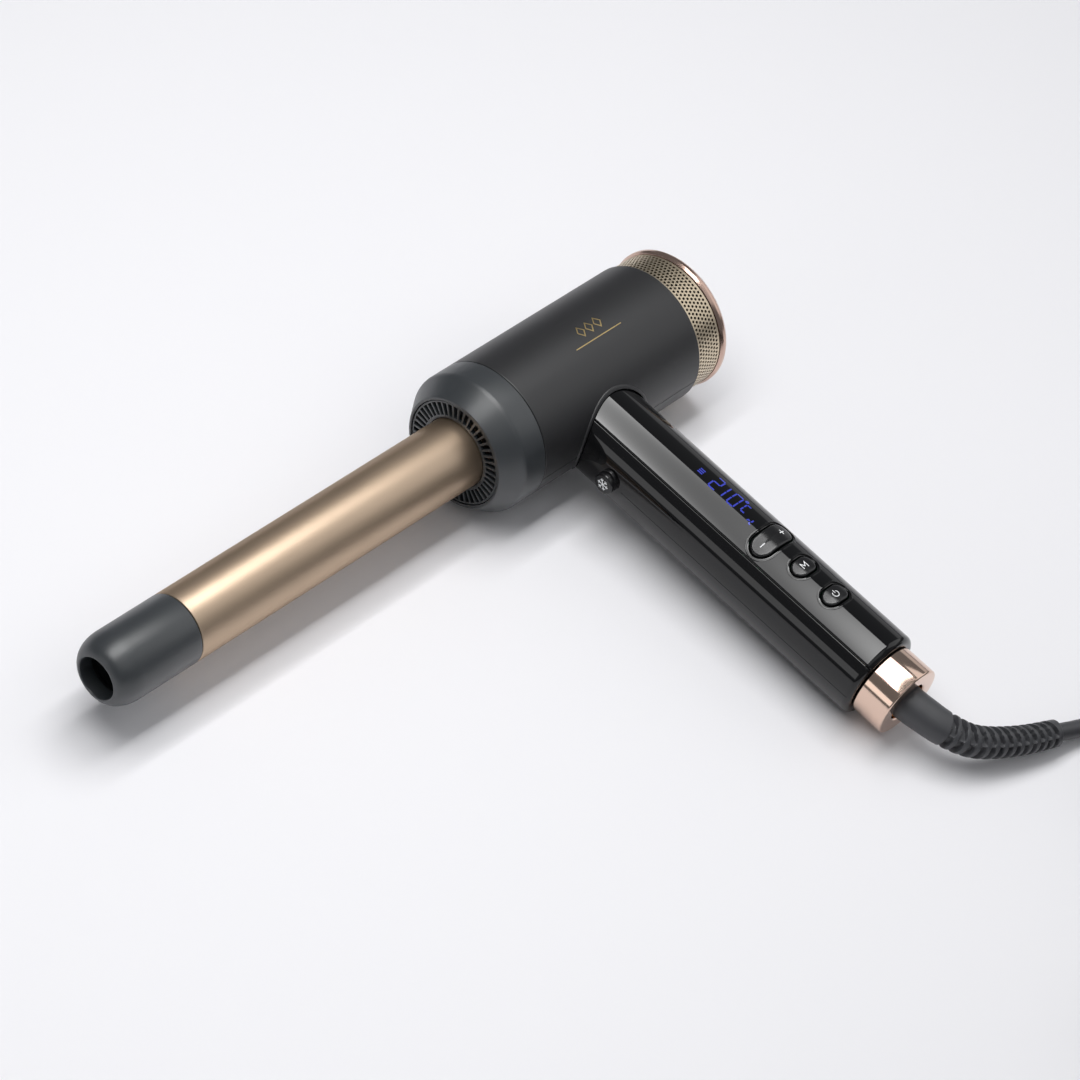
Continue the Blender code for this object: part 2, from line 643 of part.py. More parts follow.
# ---- cord end -----------------------------------------------------------------------------
def make_cord_end():
    turned("end_collar", [
        (SOCKET_RADIUS + 0.0008, COLLAR_END), (COLLAR_RADIUS - 0.0006, COLLAR_END),
        (COLLAR_RADIUS, COLLAR_END - 0.0006), (COLLAR_RADIUS, HANDLE_END + 0.0009),
        (COLLAR_RADIUS - 0.0006, HANDLE_END + GAP), (0.0095, HANDLE_END + GAP),
        (0.0095, HANDLE_END + 0.0040), (SOCKET_RADIUS, HANDLE_END + 0.0055), (SOCKET_RADIUS, COLLAR_END - 0.0008),
    ], HANDLE, "rose_gold")
    turned("contact_ring", ring(0.0120, 0.0070, 0.1580, 0.1610), HANDLE, "brass", steps=SMALL_STEPS)
    turned("swivel_spindle", [
        (0.0, 0.1796), (0.0070, 0.1796), (0.0077, 0.1788), (0.0077, 0.1735), (0.0060, 0.1715),
        (0.0060, 0.1560), (0.0, 0.1560),
    ], HANDLE, "brass", steps=SMALL_STEPS)


def make_boot_and_cord():
    mouth = HANDLE.matrix_world @ Vector((0.0, 0.0, 0.1803))
    boot = smooth_route([mouth + Vector(knot) for knot in BOOT_KNOTS], 0.0048)
    last = len(boot) - 1
    taper = BOOT_END_RADIUS / BOOT_START_RADIUS - 1.0
    scales = [1.0 + taper * index / last for index in range(last + 1)]
    tube("cord_boot", boot, BOOT_START_RADIUS, None, "cord_rubber", scales)

    point = cord_meets_coil(COIL_ENTRY_ANGLE, 1)
    way = (boot[-1] - boot[-2]).normalized()
    knots = [boot[-1] + way * GAP]
    knots += [mouth + Vector(knot) for knot in CORD_DROP_KNOTS]
    knots.append(point)
    tube("power_cord", smooth_route(knots, 0.0120), CORD_RADIUS, None, "cord_rubber")


# ---- coil ---------------------------------------------------------------------------------
def coil_centre():
    return Vector((COIL_CENTRE[0] + REST_PLACE[0], COIL_CENTRE[1] + REST_PLACE[1], 0.0))


def bundle_radius():
    return STRAND_RADIUS + CORD_RADIUS


def cord_meets_coil(angle, side):
    """Where a cord running along X toward the coil stops, just clear of the bundle; side is +1 or -1 in Y."""
    across = COIL_RADIUS + STRAND_RADIUS * math.cos(angle)
    height = BUNDLE_HEIGHT - STRAND_RADIUS * math.sin(angle)
    clear = bundle_radius() + CORD_RADIUS + GAP
    outward = COIL_RADIUS + math.sqrt(clear ** 2 - (BUNDLE_HEIGHT - height) ** 2)
    back = math.sqrt(outward ** 2 - across ** 2)
    return coil_centre() + Vector((-back, side * across, height))


def make_coil():
    bundle = arc((COIL_RADIUS, BUNDLE_HEIGHT), bundle_radius(), 330, 0, 11)
    turned("cord_coil", bundle, None, "cord_rubber", coil_centre(), 36)


# ---- plug ---------------------------------------------------------------------------------
def make_plug():
    """A three-pin plug with its pins up; its cord comes from +X."""
    tail_start = cord_meets_coil(COIL_EXIT_ANGLE, -1)
    line_y = tail_start.y
    tail_end = Vector((tail_start.x - TAIL_LENGTH, line_y, PLUG_ENTRY_Z))
    straight = Vector((0.0050, 0.0, 0.0))
    dips = [tail_start.lerp(tail_end, 0.30), tail_start.lerp(tail_end, 0.60)]
    knots = [tail_start] + dips + [tail_end + straight, tail_end]
    knots[1].z -= 0.0032
    knots[2].z -= 0.0026
    tube("cord_tail", smooth_route(knots, 0.0080), CORD_RADIUS, None, "cord_rubber")

    grip_low = tail_end.x - GAP - GRIP_LENGTH
    turned("plug_grip", [
        (0.0, GRIP_LENGTH), (0.0046, GRIP_LENGTH), (0.0062, 0.0), (0.0, 0.0),
    ], None, "cord_rubber", (grip_low, line_y, PLUG_ENTRY_Z), SMALL_STEPS, (0, math.pi / 2, 0))

    side = grip_low - GAP
    body_centre = (side - PLUG_LENGTH / 2, line_y, PLUG_DEPTH / 2)
    body = place("plug_body", box_mesh((PLUG_LENGTH, PLUG_WIDTH, PLUG_DEPTH)), None, "matte_black", body_centre)
    bevel(body, 0.0030, 2)
    for name, along, across, size_along, size_across, length in PINS:
        where = (side - along, line_y + across, 0.0)
        hole = box_mesh((size_along + 2 * GAP, size_across + 2 * GAP, 0.010), (0, 0, PLUG_DEPTH + 0.005 - PIN_SINK))
        boolean(body, place_cutter(name + "_hole", hole, None, where))
        low = PLUG_DEPTH - PIN_SINK + GAP
        pin_size = (size_along, size_across, length + PIN_SINK - GAP)
        pin = place(name, box_mesh(pin_size, (0, 0, low + pin_size[2] / 2)), None, "brass", where)
        bevel(pin, 0.0005, 1)
    fuse_at = (side - 0.0225, line_y, 0.0)
    pocket = box_mesh((0.0086, 0.0246, 0.010), (0, 0, PLUG_DEPTH + 0.005 - 0.0015))
    boolean(body, place_cutter("fuse_pocket", pocket, None, fuse_at))
    place("plug_fuse_cover", box_mesh((0.0080, 0.0240, 0.0012), (0, 0, PLUG_DEPTH - 0.0006)), None, "key_black",
          fuse_at)


clear_scene()
PARTS = collection("curling_iron")
CUTTERS = collection("cutters")
REST = frame_empty("rest_frame", None, REST_PLACE, (REST_TILT, 0, 0))
BARREL = frame_empty("barrel_frame", REST, (0, 0, 0), (0, math.pi / 2, 0))
HANDLE = frame_empty("handle_frame", REST, (0, 0, 0), (math.pi / 2, 0, 0))
bpy.context.view_layer.update()

make_barrel()
make_heater()
make_barrel_mount()
make_front_grille()
make_front_shell()
make_main_housing()
make_arch_rim()
make_fan()
make_filter_cap()
make_handle_shells()
make_handle_neck()
make_keys()
make_cool_key()
make_electronics()
make_cord_end()
make_boot_and_cord()
make_coil()
make_plug()
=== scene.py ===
"""Cool-air curling wand on a pale floor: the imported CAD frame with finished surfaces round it.

Pieces are built in the wand's own axes (barrel along X, handle down -Y, keys facing +Z), in metres,
and one matrix, taken from the joints, lays them on the table.  The cord, coil and plug are built in
the row's own axes, because they lie on the table.
"""
import json
import math

import bmesh
import bpy
from mathutils import Matrix, Vector


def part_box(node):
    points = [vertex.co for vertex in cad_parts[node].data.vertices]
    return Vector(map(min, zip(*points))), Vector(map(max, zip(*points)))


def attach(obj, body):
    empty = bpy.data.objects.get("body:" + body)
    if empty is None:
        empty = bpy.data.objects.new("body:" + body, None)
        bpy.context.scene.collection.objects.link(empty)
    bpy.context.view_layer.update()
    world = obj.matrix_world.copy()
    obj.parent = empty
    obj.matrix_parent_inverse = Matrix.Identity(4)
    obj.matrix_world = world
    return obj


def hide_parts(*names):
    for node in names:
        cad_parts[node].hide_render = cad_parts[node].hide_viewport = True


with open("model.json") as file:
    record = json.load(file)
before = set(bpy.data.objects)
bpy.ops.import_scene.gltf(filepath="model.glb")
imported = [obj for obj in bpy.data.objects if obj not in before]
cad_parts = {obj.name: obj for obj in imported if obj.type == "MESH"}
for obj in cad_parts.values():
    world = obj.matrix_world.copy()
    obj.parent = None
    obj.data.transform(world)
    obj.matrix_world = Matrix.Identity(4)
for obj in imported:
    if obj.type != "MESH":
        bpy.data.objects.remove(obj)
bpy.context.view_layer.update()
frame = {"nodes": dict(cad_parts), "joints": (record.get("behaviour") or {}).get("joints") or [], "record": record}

# ---- sizes of the CAD frame, in metres ----
GAP = 0.0003                    # clearance between neighbouring parts
ROUND_STEPS = 160               # points round a large turned part
SMALL_STEPS = 72                # points round a small one

BARREL_RADIUS = 0.014
BARREL_WALL = 0.0014
BARREL_REAR_X = -0.036
CAP_SEAM_X = -0.2018
TIP_FACE_X = -0.2403
TIP_HOLE_RADIUS = 0.00835
NOSE_INSET = 0.0058             # how far the tip's rounded nose draws in
NOSE_LENGTH = 0.0105            # how far back from the tip it starts

HOUSING_RADIUS = 0.0284
HOUSING_WALL = 0.0020
HOUSING_REAR_X = 0.0489
FRONT_SEAM_X = -0.0388
CONE_RIDGE_X = -0.0497
GRILLE_FACE_X = -0.0582
GRILLE_RADIUS = 0.0219
GRILLE_SLOTS = 45
MESH_RADIUS = 0.0274
MESH_WALL = 0.0008
MESH_FRONT_X = 0.0495
MESH_HOLES_FROM = 0.0499
MESH_HOLES_TO = 0.0608
HOLE_COLUMNS = 100
HOLE_ROWS = 7
HOLE_RADIUS = 0.00056
RIM_FRONT_X = 0.0616
RIM_REAR_X = 0.0656
RIM_OPENING = 0.0262            # radius of the rim's rear opening
RIM_INSIDE = 0.0245
INLET_SLOTS = 12
INLET_ROWS = ((0.0100, 0.0158), (0.0174, 0.0232))

HANDLE_RADIUS = 0.018
HANDLE_INNER = 0.0162
HANDLE_TOP = 0.0205
HANDLE_END = 0.1675
HANDLE_EDGE = 0.0025
SHELL_SPLIT = math.radians(48.0)
SHELL_SEAM = math.radians(0.8)
NOTCH_BOTTOM = 0.0492
NOTCH_FOOT_RADIUS = 0.0055
NOTCH_SIDE = [(0.0160, 0.0150), (0.0136, 0.0262), (0.0115, 0.0282), (0.0068, 0.0420)]
COLLAR_RADIUS = 0.0148
COLLAR_END = 0.1815
SOCKET_RADIUS = 0.0082

KEY_RIM = 0.0014
KEYS = {
    # key: distance down the handle, half length across, half width along
    "rocker": (0.1055, 0.0113, 0.0062),
    "mode": (0.1215, 0.0070, 0.0053),
    "power": (0.1375, 0.0074, 0.0053),
}
KEY_CROWN = 0.00032             # how far a key stands out of the handle
KEY_FOOT = 0.0127               # height of the keys' undersides above the handle's axis
COOL_AT = 0.0432
COOL_FACE_X = -0.02095
COOL_RADIUS = 0.0043

MARK_HALF = 0.0012              # half the length of the strokes of the plus and minus
SEGMENTS = {"0": "abcdef", "1": "bc", "2": "abged", "C": "adef"}
DIGIT_BOTTOM = -0.0020
DIGIT_HEIGHT = 0.0068

CORD_RADIUS = 0.0034
COIL_CENTRE = Vector((0.18705, -0.209464, 0.0))
COIL_RADIUS = 0.0415
STRAND_RADIUS = 0.0101
BUNDLE_HEIGHT = 0.0138
COIL_TURNS = 8.5
COIL_ENTRY_ANGLE = math.radians(50)
COIL_EXIT_ANGLE = math.radians(30)
BOOT_START_RADIUS = 0.0071
BOOT_END_RADIUS = 0.0052
BOOT_PLAIN = 0.0165             # length of the boot's smooth neck
BOOT_PITCH = 0.0036
BOOT_SLOT_DEPTH = 0.34          # as a share of the radius
BOOT_CAP = 0.0014               # length of its end ring
BOOT_LEAN = 0.0022              # how far a slot leans either way
BOOT_SPINE = 0.6                # angle of one of the two spines between the slots
BOOT_EDGE = 0.0005              # length over which its two ends are rounded
MOUTH_ALONG = 0.1803
BOOT_KNOTS = [
    (0.0, 0.0, 0.0),
    (0.0001, -0.0030, -0.0002),
    (0.0010, -0.0080, -0.0008),
    (0.0031, -0.0167, -0.0019),
    (0.0078, -0.0254, -0.0036),
    (0.0154, -0.0311, -0.0053),
    (0.0277, -0.0369, -0.0073),
    (0.0429, -0.0420, -0.0094),
]
CORD_DROP_KNOTS = [
    (0.0532, -0.0454, -0.0110),
    (0.0640, -0.0495, -0.0124),
]

GRIP_RADIUS = 0.0060            # the plug's grip, at the plug
GRIP_SLIM = 0.0045              # and at the cord
GRIP_RIBS = 6
GRIP_RIB_DEPTH = 0.0005
PLUG_NARROW = 0.80              # width of the plug's far end, as a share of its full width

# ---- the camera and the lights ----
CAMERA_TARGET = Vector((0.0477, 0.0414, 0.0))
CAMERA_DISTANCE = 1.7026
CAMERA_AZIMUTH = math.radians(-59.56)
CAMERA_ELEVATION = math.radians(45.87)
CAMERA_ROLL = math.radians(17.33)
CAMERA_LENS = 151.9

# Each light: its place, the point it faces, its two sides in metres, and its power in watts.
LIGHTS = {
    "overhead_softbox": ((-0.035, 0.21, 1.0), (-0.035, 0.21, 0.0), (1.21, 0.40), 5.2),
    "front_overhead": ((-0.20, -0.60, 1.10), (0.0, 0.0, 0.0), (1.3, 0.9), 1.9),
    "right_fill": ((1.25, -0.50, 0.95), (0.0, 0.0, 0.0), (1.3, 1.3), 4.2),
    "left_strip": ((-1.5, 0.42, 0.45), (0.0, 0.0, 0.03), (0.9, 0.45), 1.4),
    "right_strip": ((1.9, 0.72, 0.40), (0.087, -0.09, 0.03), (1.3, 0.6), 0.9),
}
SOFTBOX_MIDDLE = 0.78           # the overhead softbox's brightness at its middle
SOFTBOX_RISE = 13.0             # and how fast it grows towards its ends

# Each surface: colour, metallic, roughness, scale of its grain, the grain's height in metres, and the rest.
SURFACES = {
    "champagne_aluminium": ((0.55, 0.418, 0.302), 1.0, 0.44, 5200.0, 0.0000022,
                            {"shift": 0.03, "coat": 0.5, "coat_roughness": 0.30, "edge": (0.30, 0.24, 0.18)}),
    "rose_gold": ((0.76, 0.56, 0.455), 1.0, 0.10, 3000.0, 0.0, {"shift": 0.02, "rough_shift": 0.02}),
    "satin_rose": ((0.62, 0.44, 0.365), 1.0, 0.20, 3000.0, 0.0, {"shift": 0.02, "rough_shift": 0.02}),
    "gold_mesh": ((0.66, 0.56, 0.42), 1.0, 0.34, 4200.0, 0.0000015, {"shift": 0.05}),
    "soft_charcoal": ((0.0125, 0.0125, 0.014), 0.0, 0.43, 4200.0, 0.0000035,
                      {"shift": 0.05, "rough_shift": 0.03, "ior": 1.6}),
    "slate_plastic": ((0.028, 0.032, 0.036), 0.0, 0.38, 3600.0, 0.0000045, {"shift": 0.05, "ior": 1.7}),
    "gloss_black": ((0.0035, 0.0035, 0.004), 0.0, 0.035, 900.0, 0.0, {"cloud": 30.0, "rough_shift": 0.02}),
    "matte_black": ((0.010, 0.010, 0.011), 0.0, 0.55, 3400.0, 0.000006, {"shift": 0.10}),
    "key_black": ((0.009, 0.009, 0.010), 0.0, 0.20, 3000.0, 0.0000012, {"shift": 0.08, "rough_shift": 0.05}),
    "cord_rubber": ((0.050, 0.051, 0.056), 0.0, 0.42, 2600.0, 0.000006, {"shift": 0.10}),
    "ceramic_white": ((0.74, 0.72, 0.67), 0.0, 0.55, 2400.0, 0.000008, {"shift": 0.04}),
    "plain_aluminium": ((0.66, 0.66, 0.67), 1.0, 0.34, 3000.0, 0.000003, {"stretch": (0.03, 1.0, 1.0)}),
    "steel": ((0.52, 0.52, 0.53), 1.0, 0.28, 3000.0, 0.000002, {"shift": 0.06}),
    "brass": ((0.70, 0.52, 0.25), 1.0, 0.24, 2600.0, 0.000003, {"shift": 0.08, "stretch": (1.0, 1.0, 0.08)}),
    "board_green": ((0.018, 0.12, 0.055), 0.0, 0.40, 1500.0, 0.00001, {"shift": 0.25, "coat": 0.4}),
    "foam_grey": ((0.035, 0.035, 0.036), 0.0, 0.90, 1400.0, 0.00025, {"shift": 0.45, "cloud": 1400.0}),
    "lead_red": ((0.38, 0.04, 0.03), 0.0, 0.45, 2200.0, 0.000006, {"shift": 0.08}),
    # painted light: the white print glows faintly (emission 0.12) though it is no lamp, so its marks read brighter
    # than the lamps make them
    "print_white": ((0.80, 0.81, 0.82), 0.0, 0.45, 4000.0, 0.000001, {"shift": 0.03, "emission": 0.12}),
    "print_gold": ((0.62, 0.47, 0.20), 1.0, 0.30, 4000.0, 0.000001, {"shift": 0.05}),
    "display_blue": ((0.030, 0.040, 0.30), 0.0, 0.06, 2500.0, 0.0, {"shift": 0.10, "emission": 0.75}),
}

JOINTS = {joint["name"]: joint for joint in frame["joints"]}


def wand_matrix():
    """The wand's own axes, read from the fan's, the cord's and the mode key's joints."""
    fan = JOINTS["fan_spin"]
    cord = JOINTS["cord_turn"]
    columns = [Vector(fan["axis"]), -Vector(cord["axis"]), -Vector(JOINTS["mode_press"]["axis"])]
    turn = Matrix([column.normalized() for column in columns]).transposed().to_4x4()
    place = Vector((cord["pos_m"][0], fan["pos_m"][1], fan["pos_m"][2]))
    return Matrix.Translation(place) @ turn


WAND = wand_matrix()
ROW = Matrix.Identity(4)
ALONG_BARREL = Matrix.Rotation(math.pi / 2, 4, "Y")     # a lathe's axis turned to +X
DOWN_HANDLE = Matrix.Rotation(math.pi / 2, 4, "X")      # a lathe's axis turned to -Y


# ---- materials ----
def node(tree, kind, **values):
    """A new shader node with its settings."""
    item = tree.nodes.new(kind)
    for name, value in values.items():
        setattr(item, name, value)
    return item


def noise(tree, coordinates, scale, detail=3.0, stretch=None):
    """A noise texture in metres; stretch squeezes it along the three axes."""
    texture = node(tree, "ShaderNodeTexNoise")
    texture.inputs["Scale"].default_value = scale
    texture.inputs["Detail"].default_value = detail
    source = coordinates
    if stretch:
        mapping = node(tree, "ShaderNodeMapping")
        mapping.inputs["Scale"].default_value = stretch
        tree.links.new(source, mapping.inputs["Vector"])
        source = mapping.outputs["Vector"]
    tree.links.new(source, texture.inputs["Vector"])
    return texture.outputs["Fac"]


def maths(tree, operation, *inputs):
    """A math node's result; each input is a number or another node's output."""
    item = node(tree, "ShaderNodeMath", operation=operation)
    for slot, value in zip(item.inputs, inputs):
        if isinstance(value, float):
            slot.default_value = value
        else:
            tree.links.new(value, slot)
    return item.outputs["Value"]


def ranged(tree, value, low, high):
    """A noise value spread over a range."""
    mapped = node(tree, "ShaderNodeMapRange")
    for socket, limit in (("From Min", 0.25), ("From Max", 0.75), ("To Min", low), ("To Max", high)):
        mapped.inputs[socket].default_value = limit
    tree.links.new(value, mapped.inputs["Value"])
    return mapped.outputs["Result"]


def finish(name, colour, metallic, roughness, grain, grain_height, cloud=25.0, shift=0.06, rough_shift=0.04,
           stretch=None, coat=0.0, coat_roughness=0.03, emission=0.0, ior=1.5, edge=(1.0, 1.0, 1.0)):
    """One surface: a slow change of colour and gloss, and a fine grain in the relief."""
    material = bpy.data.materials.new(name)
    material.use_nodes = True
    material.diffuse_color = (*colour, 1.0)
    tree = material.node_tree
    shader = tree.nodes["Principled BSDF"]
    settings = {"Metallic": metallic, "IOR": ior, "Coat Weight": coat, "Coat Roughness": coat_roughness,
                "Specular Tint": (*edge, 1.0)}
    for socket, value in settings.items():
        shader.inputs[socket].default_value = value
    coordinates = node(tree, "ShaderNodeTexCoord").outputs["Object"]

    slow = noise(tree, coordinates, cloud, 4.0)
    ramp = node(tree, "ShaderNodeValToRGB")
    for element, place, change in zip(ramp.color_ramp.elements, (0.30, 0.70), (-shift, shift)):
        element.position = place
        element.color = (*[min(1.0, c * (1.0 + change)) for c in colour], 1.0)
    tree.links.new(slow, ramp.inputs["Fac"])
    tree.links.new(ramp.outputs["Color"], shader.inputs["Base Color"])
    # Emission: the display's own light, and on the white print a faint painted glow that lifts the marks above
    # what the lamps give them.
    if emission:
        tree.links.new(ramp.outputs["Color"], shader.inputs["Emission Color"])
        shader.inputs["Emission Strength"].default_value = emission

    fine = noise(tree, coordinates, grain, 2.0, stretch)
    half = rough_shift / 2
    gloss = noise(tree, coordinates, cloud * 2.3, 3.0)
    blend = maths(tree, "ADD", ranged(tree, fine, -half, half),
                  ranged(tree, gloss, roughness - half, roughness + half))
    tree.links.new(blend, shader.inputs["Roughness"])
    if grain_height:
        bump = node(tree, "ShaderNodeBump")
        bump.inputs["Distance"].default_value = grain_height
        tree.links.new(fine, bump.inputs["Height"])
        tree.links.new(bump.outputs["Normal"], shader.inputs["Normal"])
    return material


FINISHES = {name: finish(name, *values, **other) for name, (*values, other) in SURFACES.items()}


# ---- mesh helpers ----
def circle(radius, steps, height=0.0):
    """Points round a circle at a height."""
    turns = [2 * math.pi * k / steps for k in range(steps)]
    return [(radius * math.cos(turn), radius * math.sin(turn), height) for turn in turns]


def arc(centre, radius, start, end, count):
    """Points on an arc in a plane; angles in degrees."""
    angles = [math.radians(start + (end - start) * k / count) for k in range(count + 1)]
    return [(centre[0] + radius * math.cos(a), centre[1] + radius * math.sin(a)) for a in angles]


def ring_slot(low, high, start, sweep, count):
    """The outline of a slot between two radii; angles in degrees."""
    end = start + sweep
    return arc((0, 0), low, start, end, count) + arc((0, 0), high, end, start, count)


def rounded(corners, steps=4):
    """A closed outline from (a, b, radius) corners, each rounded by its radius."""
    points = []
    count = len(corners)
    for index, (a, b, radius) in enumerate(corners):
        here = Vector((a, b))
        if radius <= 0:
            points.append((a, b))
            continue
        back = Vector(corners[index - 1][:2]) - here
        on = Vector(corners[(index + 1) % count][:2]) - here
        half = back.angle(on) / 2
        reach = min(radius / math.tan(half), 0.49 * back.length, 0.49 * on.length)
        start = here + back.normalized() * reach
        end = here + on.normalized() * reach
        centre = here + (back.normalized() + on.normalized()).normalized() * reach / math.cos(half)
        first = start - centre
        sweep = first.angle_signed(end - centre)
        for k in range(steps + 1):
            turn = Matrix.Rotation(-sweep * k / steps, 2)
            points.append(tuple(centre + turn @ first))
    return points


def skin(loops, joined=False):
    """Quads between neighbouring loops of equal length; the end loops are joined, or capped."""
    count = len(loops[0])
    verts = [point for loop in loops for point in loop]
    faces = []
    for i in range(len(loops) if joined else len(loops) - 1):
        a = i * count
        b = (i + 1) % len(loops) * count
        faces += [(a + k, a + (k + 1) % count, b + (k + 1) % count, b + k) for k in range(count)]
    if not joined:
        faces.append(tuple(range(count)))
        faces.append(tuple(range(len(verts) - count, len(verts))))
    return verts, faces


def lathe(outline, steps=ROUND_STEPS, joined=True):
    """Turns an outline of (radius, along) round its axis."""
    return skin([circle(radius, steps, along) for radius, along in outline], joined)


def prism(outlines, low, high):
    """A flat plate between two heights; the first outline is its edge, and the others are holes."""
    work = bmesh.new()
    edges = []
    for outline in outlines:
        ring = [work.verts.new((x, y, low)) for x, y in outline]
        edges += [work.edges.new((ring[k], ring[(k + 1) % len(ring)])) for k in range(len(ring))]
    filled = bmesh.ops.triangle_fill(work, use_beauty=True, use_dissolve=False, edges=edges)
    flat = [face for face in filled["geom"] if isinstance(face, bmesh.types.BMFace)]
    raised = bmesh.ops.extrude_face_region(work, geom=flat)
    lifted = [item for item in raised["geom"] if isinstance(item, bmesh.types.BMVert)]
    bmesh.ops.translate(work, verts=lifted, vec=(0, 0, high - low))
    work.verts.index_update()
    verts = [tuple(vert.co) for vert in work.verts]
    faces = [tuple(vert.index for vert in face.verts) for face in work.faces]
    work.free()
    return verts, faces


def box_shape(size, centre=(0, 0, 0)):
    """A box, used only to cut grooves and pockets."""
    half = [s / 2 for s in size]
    outline = [(-half[0], -half[1]), (half[0], -half[1]), (half[0], half[1]), (-half[0], half[1])]
    moved = [(x + centre[0], y + centre[1]) for x, y in outline]
    return prism([moved], centre[2] - half[2], centre[2] + half[2])


def make_mesh(name, shape, turn=None):
    """A clean mesh with its faces turned outwards."""
    mesh = bpy.data.meshes.new(name)
    mesh.from_pydata(shape[0], [], shape[1])
    work = bmesh.new()
    work.from_mesh(mesh)
    bmesh.ops.remove_doubles(work, verts=work.verts, dist=1e-7)
    bmesh.ops.dissolve_degenerate(work, edges=work.edges, dist=1e-7)
    bmesh.ops.recalc_face_normals(work, faces=work.faces)
    work.to_mesh(mesh)
    work.free()
    if turn:
        mesh.transform(turn)
    return mesh


def make_object(name, shape, turn=None):
    item = bpy.data.objects.new(name, make_mesh(name, shape, turn))
    bpy.context.scene.collection.objects.link(item)
    return item


def apply_modifiers(item):
    """Bakes the object's modifiers into its mesh."""
    view = bpy.context.evaluated_depsgraph_get()
    mesh = bpy.data.meshes.new_from_object(item.evaluated_get(view))
    item.modifiers.clear()
    item.data = mesh


def combine(item, other, operation):
    """Adds the other object to the item, or takes it away, and removes the other."""
    modifier = item.modifiers.new("combine", "BOOLEAN")
    modifier.operation = operation
    modifier.solver = "EXACT"
    modifier.object = other
    apply_modifiers(item)
    bpy.data.objects.remove(other)


def cut(item, shape, turn=None):
    combine(item, make_object("cutter", shape, turn), "DIFFERENCE")


def soften(item, width, angle):
    """Rounds the edges sharper than an angle in degrees."""
    modifier = item.modifiers.new("soften", "BEVEL")
    modifier.width = width
    modifier.segments = 2
    modifier.limit_method = "ANGLE"
    modifier.angle_limit = math.radians(angle)
    apply_modifiers(item)


def true_normals(mesh, radius, across):
    """Shades the faces on a cylinder by the cylinder itself; across names the axes square to its own."""
    corners = [corner.vector.copy() for corner in mesh.corner_normals]
    for polygon in mesh.polygons:
        for loop in polygon.loop_indices:
            place = mesh.vertices[mesh.loops[loop].vertex_index].co
            out = Vector((0.0, 0.0, 0.0))
            for axis in across:
                out[axis] = place[axis]
            if abs(out.length - radius) < 0.00001 and polygon.normal.dot(out.normalized()) > 0.97:
                corners[loop] = out.normalized()
    mesh.normals_split_custom_set(corners)


def settle(item, finish_name, body, replaced=(), place=WAND, sharp=35.0, cylinder=None):
    """Gives a piece its finish, shading, place and body."""
    item.data.materials.clear()
    item.data.materials.append(FINISHES[finish_name])
    item.data.shade_smooth()
    item.data.set_sharp_from_angle(angle=math.radians(sharp))
    if cylinder:
        true_normals(item.data, *cylinder)
    item.matrix_world = place
    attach(item, body)
    if replaced:
        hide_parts(*replaced)


def piece(name, shape, finish_name, body, replaced=(), turn=None, place=WAND, sharp=35.0):
    settle(make_object(name, shape, turn), finish_name, body, replaced, place, sharp)


# ---- camera, floor and light ----
def make_camera():
    level = Vector((math.cos(CAMERA_AZIMUTH), math.sin(CAMERA_AZIMUTH), 0.0))
    away = Vector((math.sin(CAMERA_AZIMUTH), -math.cos(CAMERA_AZIMUTH), 0.0))
    back = away * math.cos(CAMERA_ELEVATION) + Vector((0.0, 0.0, math.sin(CAMERA_ELEVATION)))
    right = level * math.cos(CAMERA_ROLL) + back.cross(level) * math.sin(CAMERA_ROLL)
    turn = Matrix([right, back.cross(right), back]).transposed().to_4x4()
    data = bpy.data.cameras.new("camera")
    data.lens = CAMERA_LENS
    data.sensor_width = 36.0
    data.clip_start = 0.05
    data.clip_end = 50.0
    camera = bpy.data.objects.new("camera", data)
    bpy.context.scene.collection.objects.link(camera)
    camera.matrix_world = Matrix.Translation(CAMERA_TARGET + back * CAMERA_DISTANCE) @ turn
    bpy.context.scene.camera = camera


def area_light(name, place, aim, size, energy):
    data = bpy.data.lights.new(name, "AREA")
    data.shape = "RECTANGLE"
    data.size, data.size_y = size
    data.energy = energy
    light = bpy.data.objects.new(name, data)
    bpy.context.scene.collection.objects.link(light)
    light.location = place
    light.rotation_euler = (Vector(aim) - Vector(place)).to_track_quat("-Z", "Y").to_euler()
    return light


def brighten_ends(light, middle, rise):
    """Makes a softbox brighter towards the two ends of its second side."""
    light.data.use_nodes = True
    tree = light.data.node_tree
    emission = tree.nodes["Emission"]
    spot = node(tree, "ShaderNodeSeparateXYZ")
    tree.links.new(node(tree, "ShaderNodeNewGeometry").outputs["Parametric"], spot.inputs["Vector"])
    offset = maths(tree, "SUBTRACT", spot.outputs["Y"], 0.5)
    square = maths(tree, "MULTIPLY", offset, offset)
    tree.links.new(maths(tree, "MULTIPLY_ADD", square, rise, middle), emission.inputs["Strength"])


def make_stage():
    floor = make_object("floor", prism([[(-6, -6), (6, -6), (6, 6), (-6, 6)]], -0.02, 0.0))
    paint = finish("pale_floor", (0.88, 0.875, 0.90), 0.0, 0.55, 40.0, 0.0, cloud=2.0, shift=0.004,
                   rough_shift=0.02)
    floor.data.materials.append(paint)

    world = bpy.data.worlds.new("studio")
    world.use_nodes = True
    background = world.node_tree.nodes["Background"]
    background.inputs["Color"].default_value = (0.93, 0.96, 1.0, 1.0)
    background.inputs["Strength"].default_value = 0.17
    bpy.context.scene.world = world
    bpy.context.scene.view_settings.view_transform = "Standard"

    lights = {name: area_light(name, *values) for name, values in LIGHTS.items()}
    brighten_ends(lights["overhead_softbox"], SOFTBOX_MIDDLE, SOFTBOX_RISE)


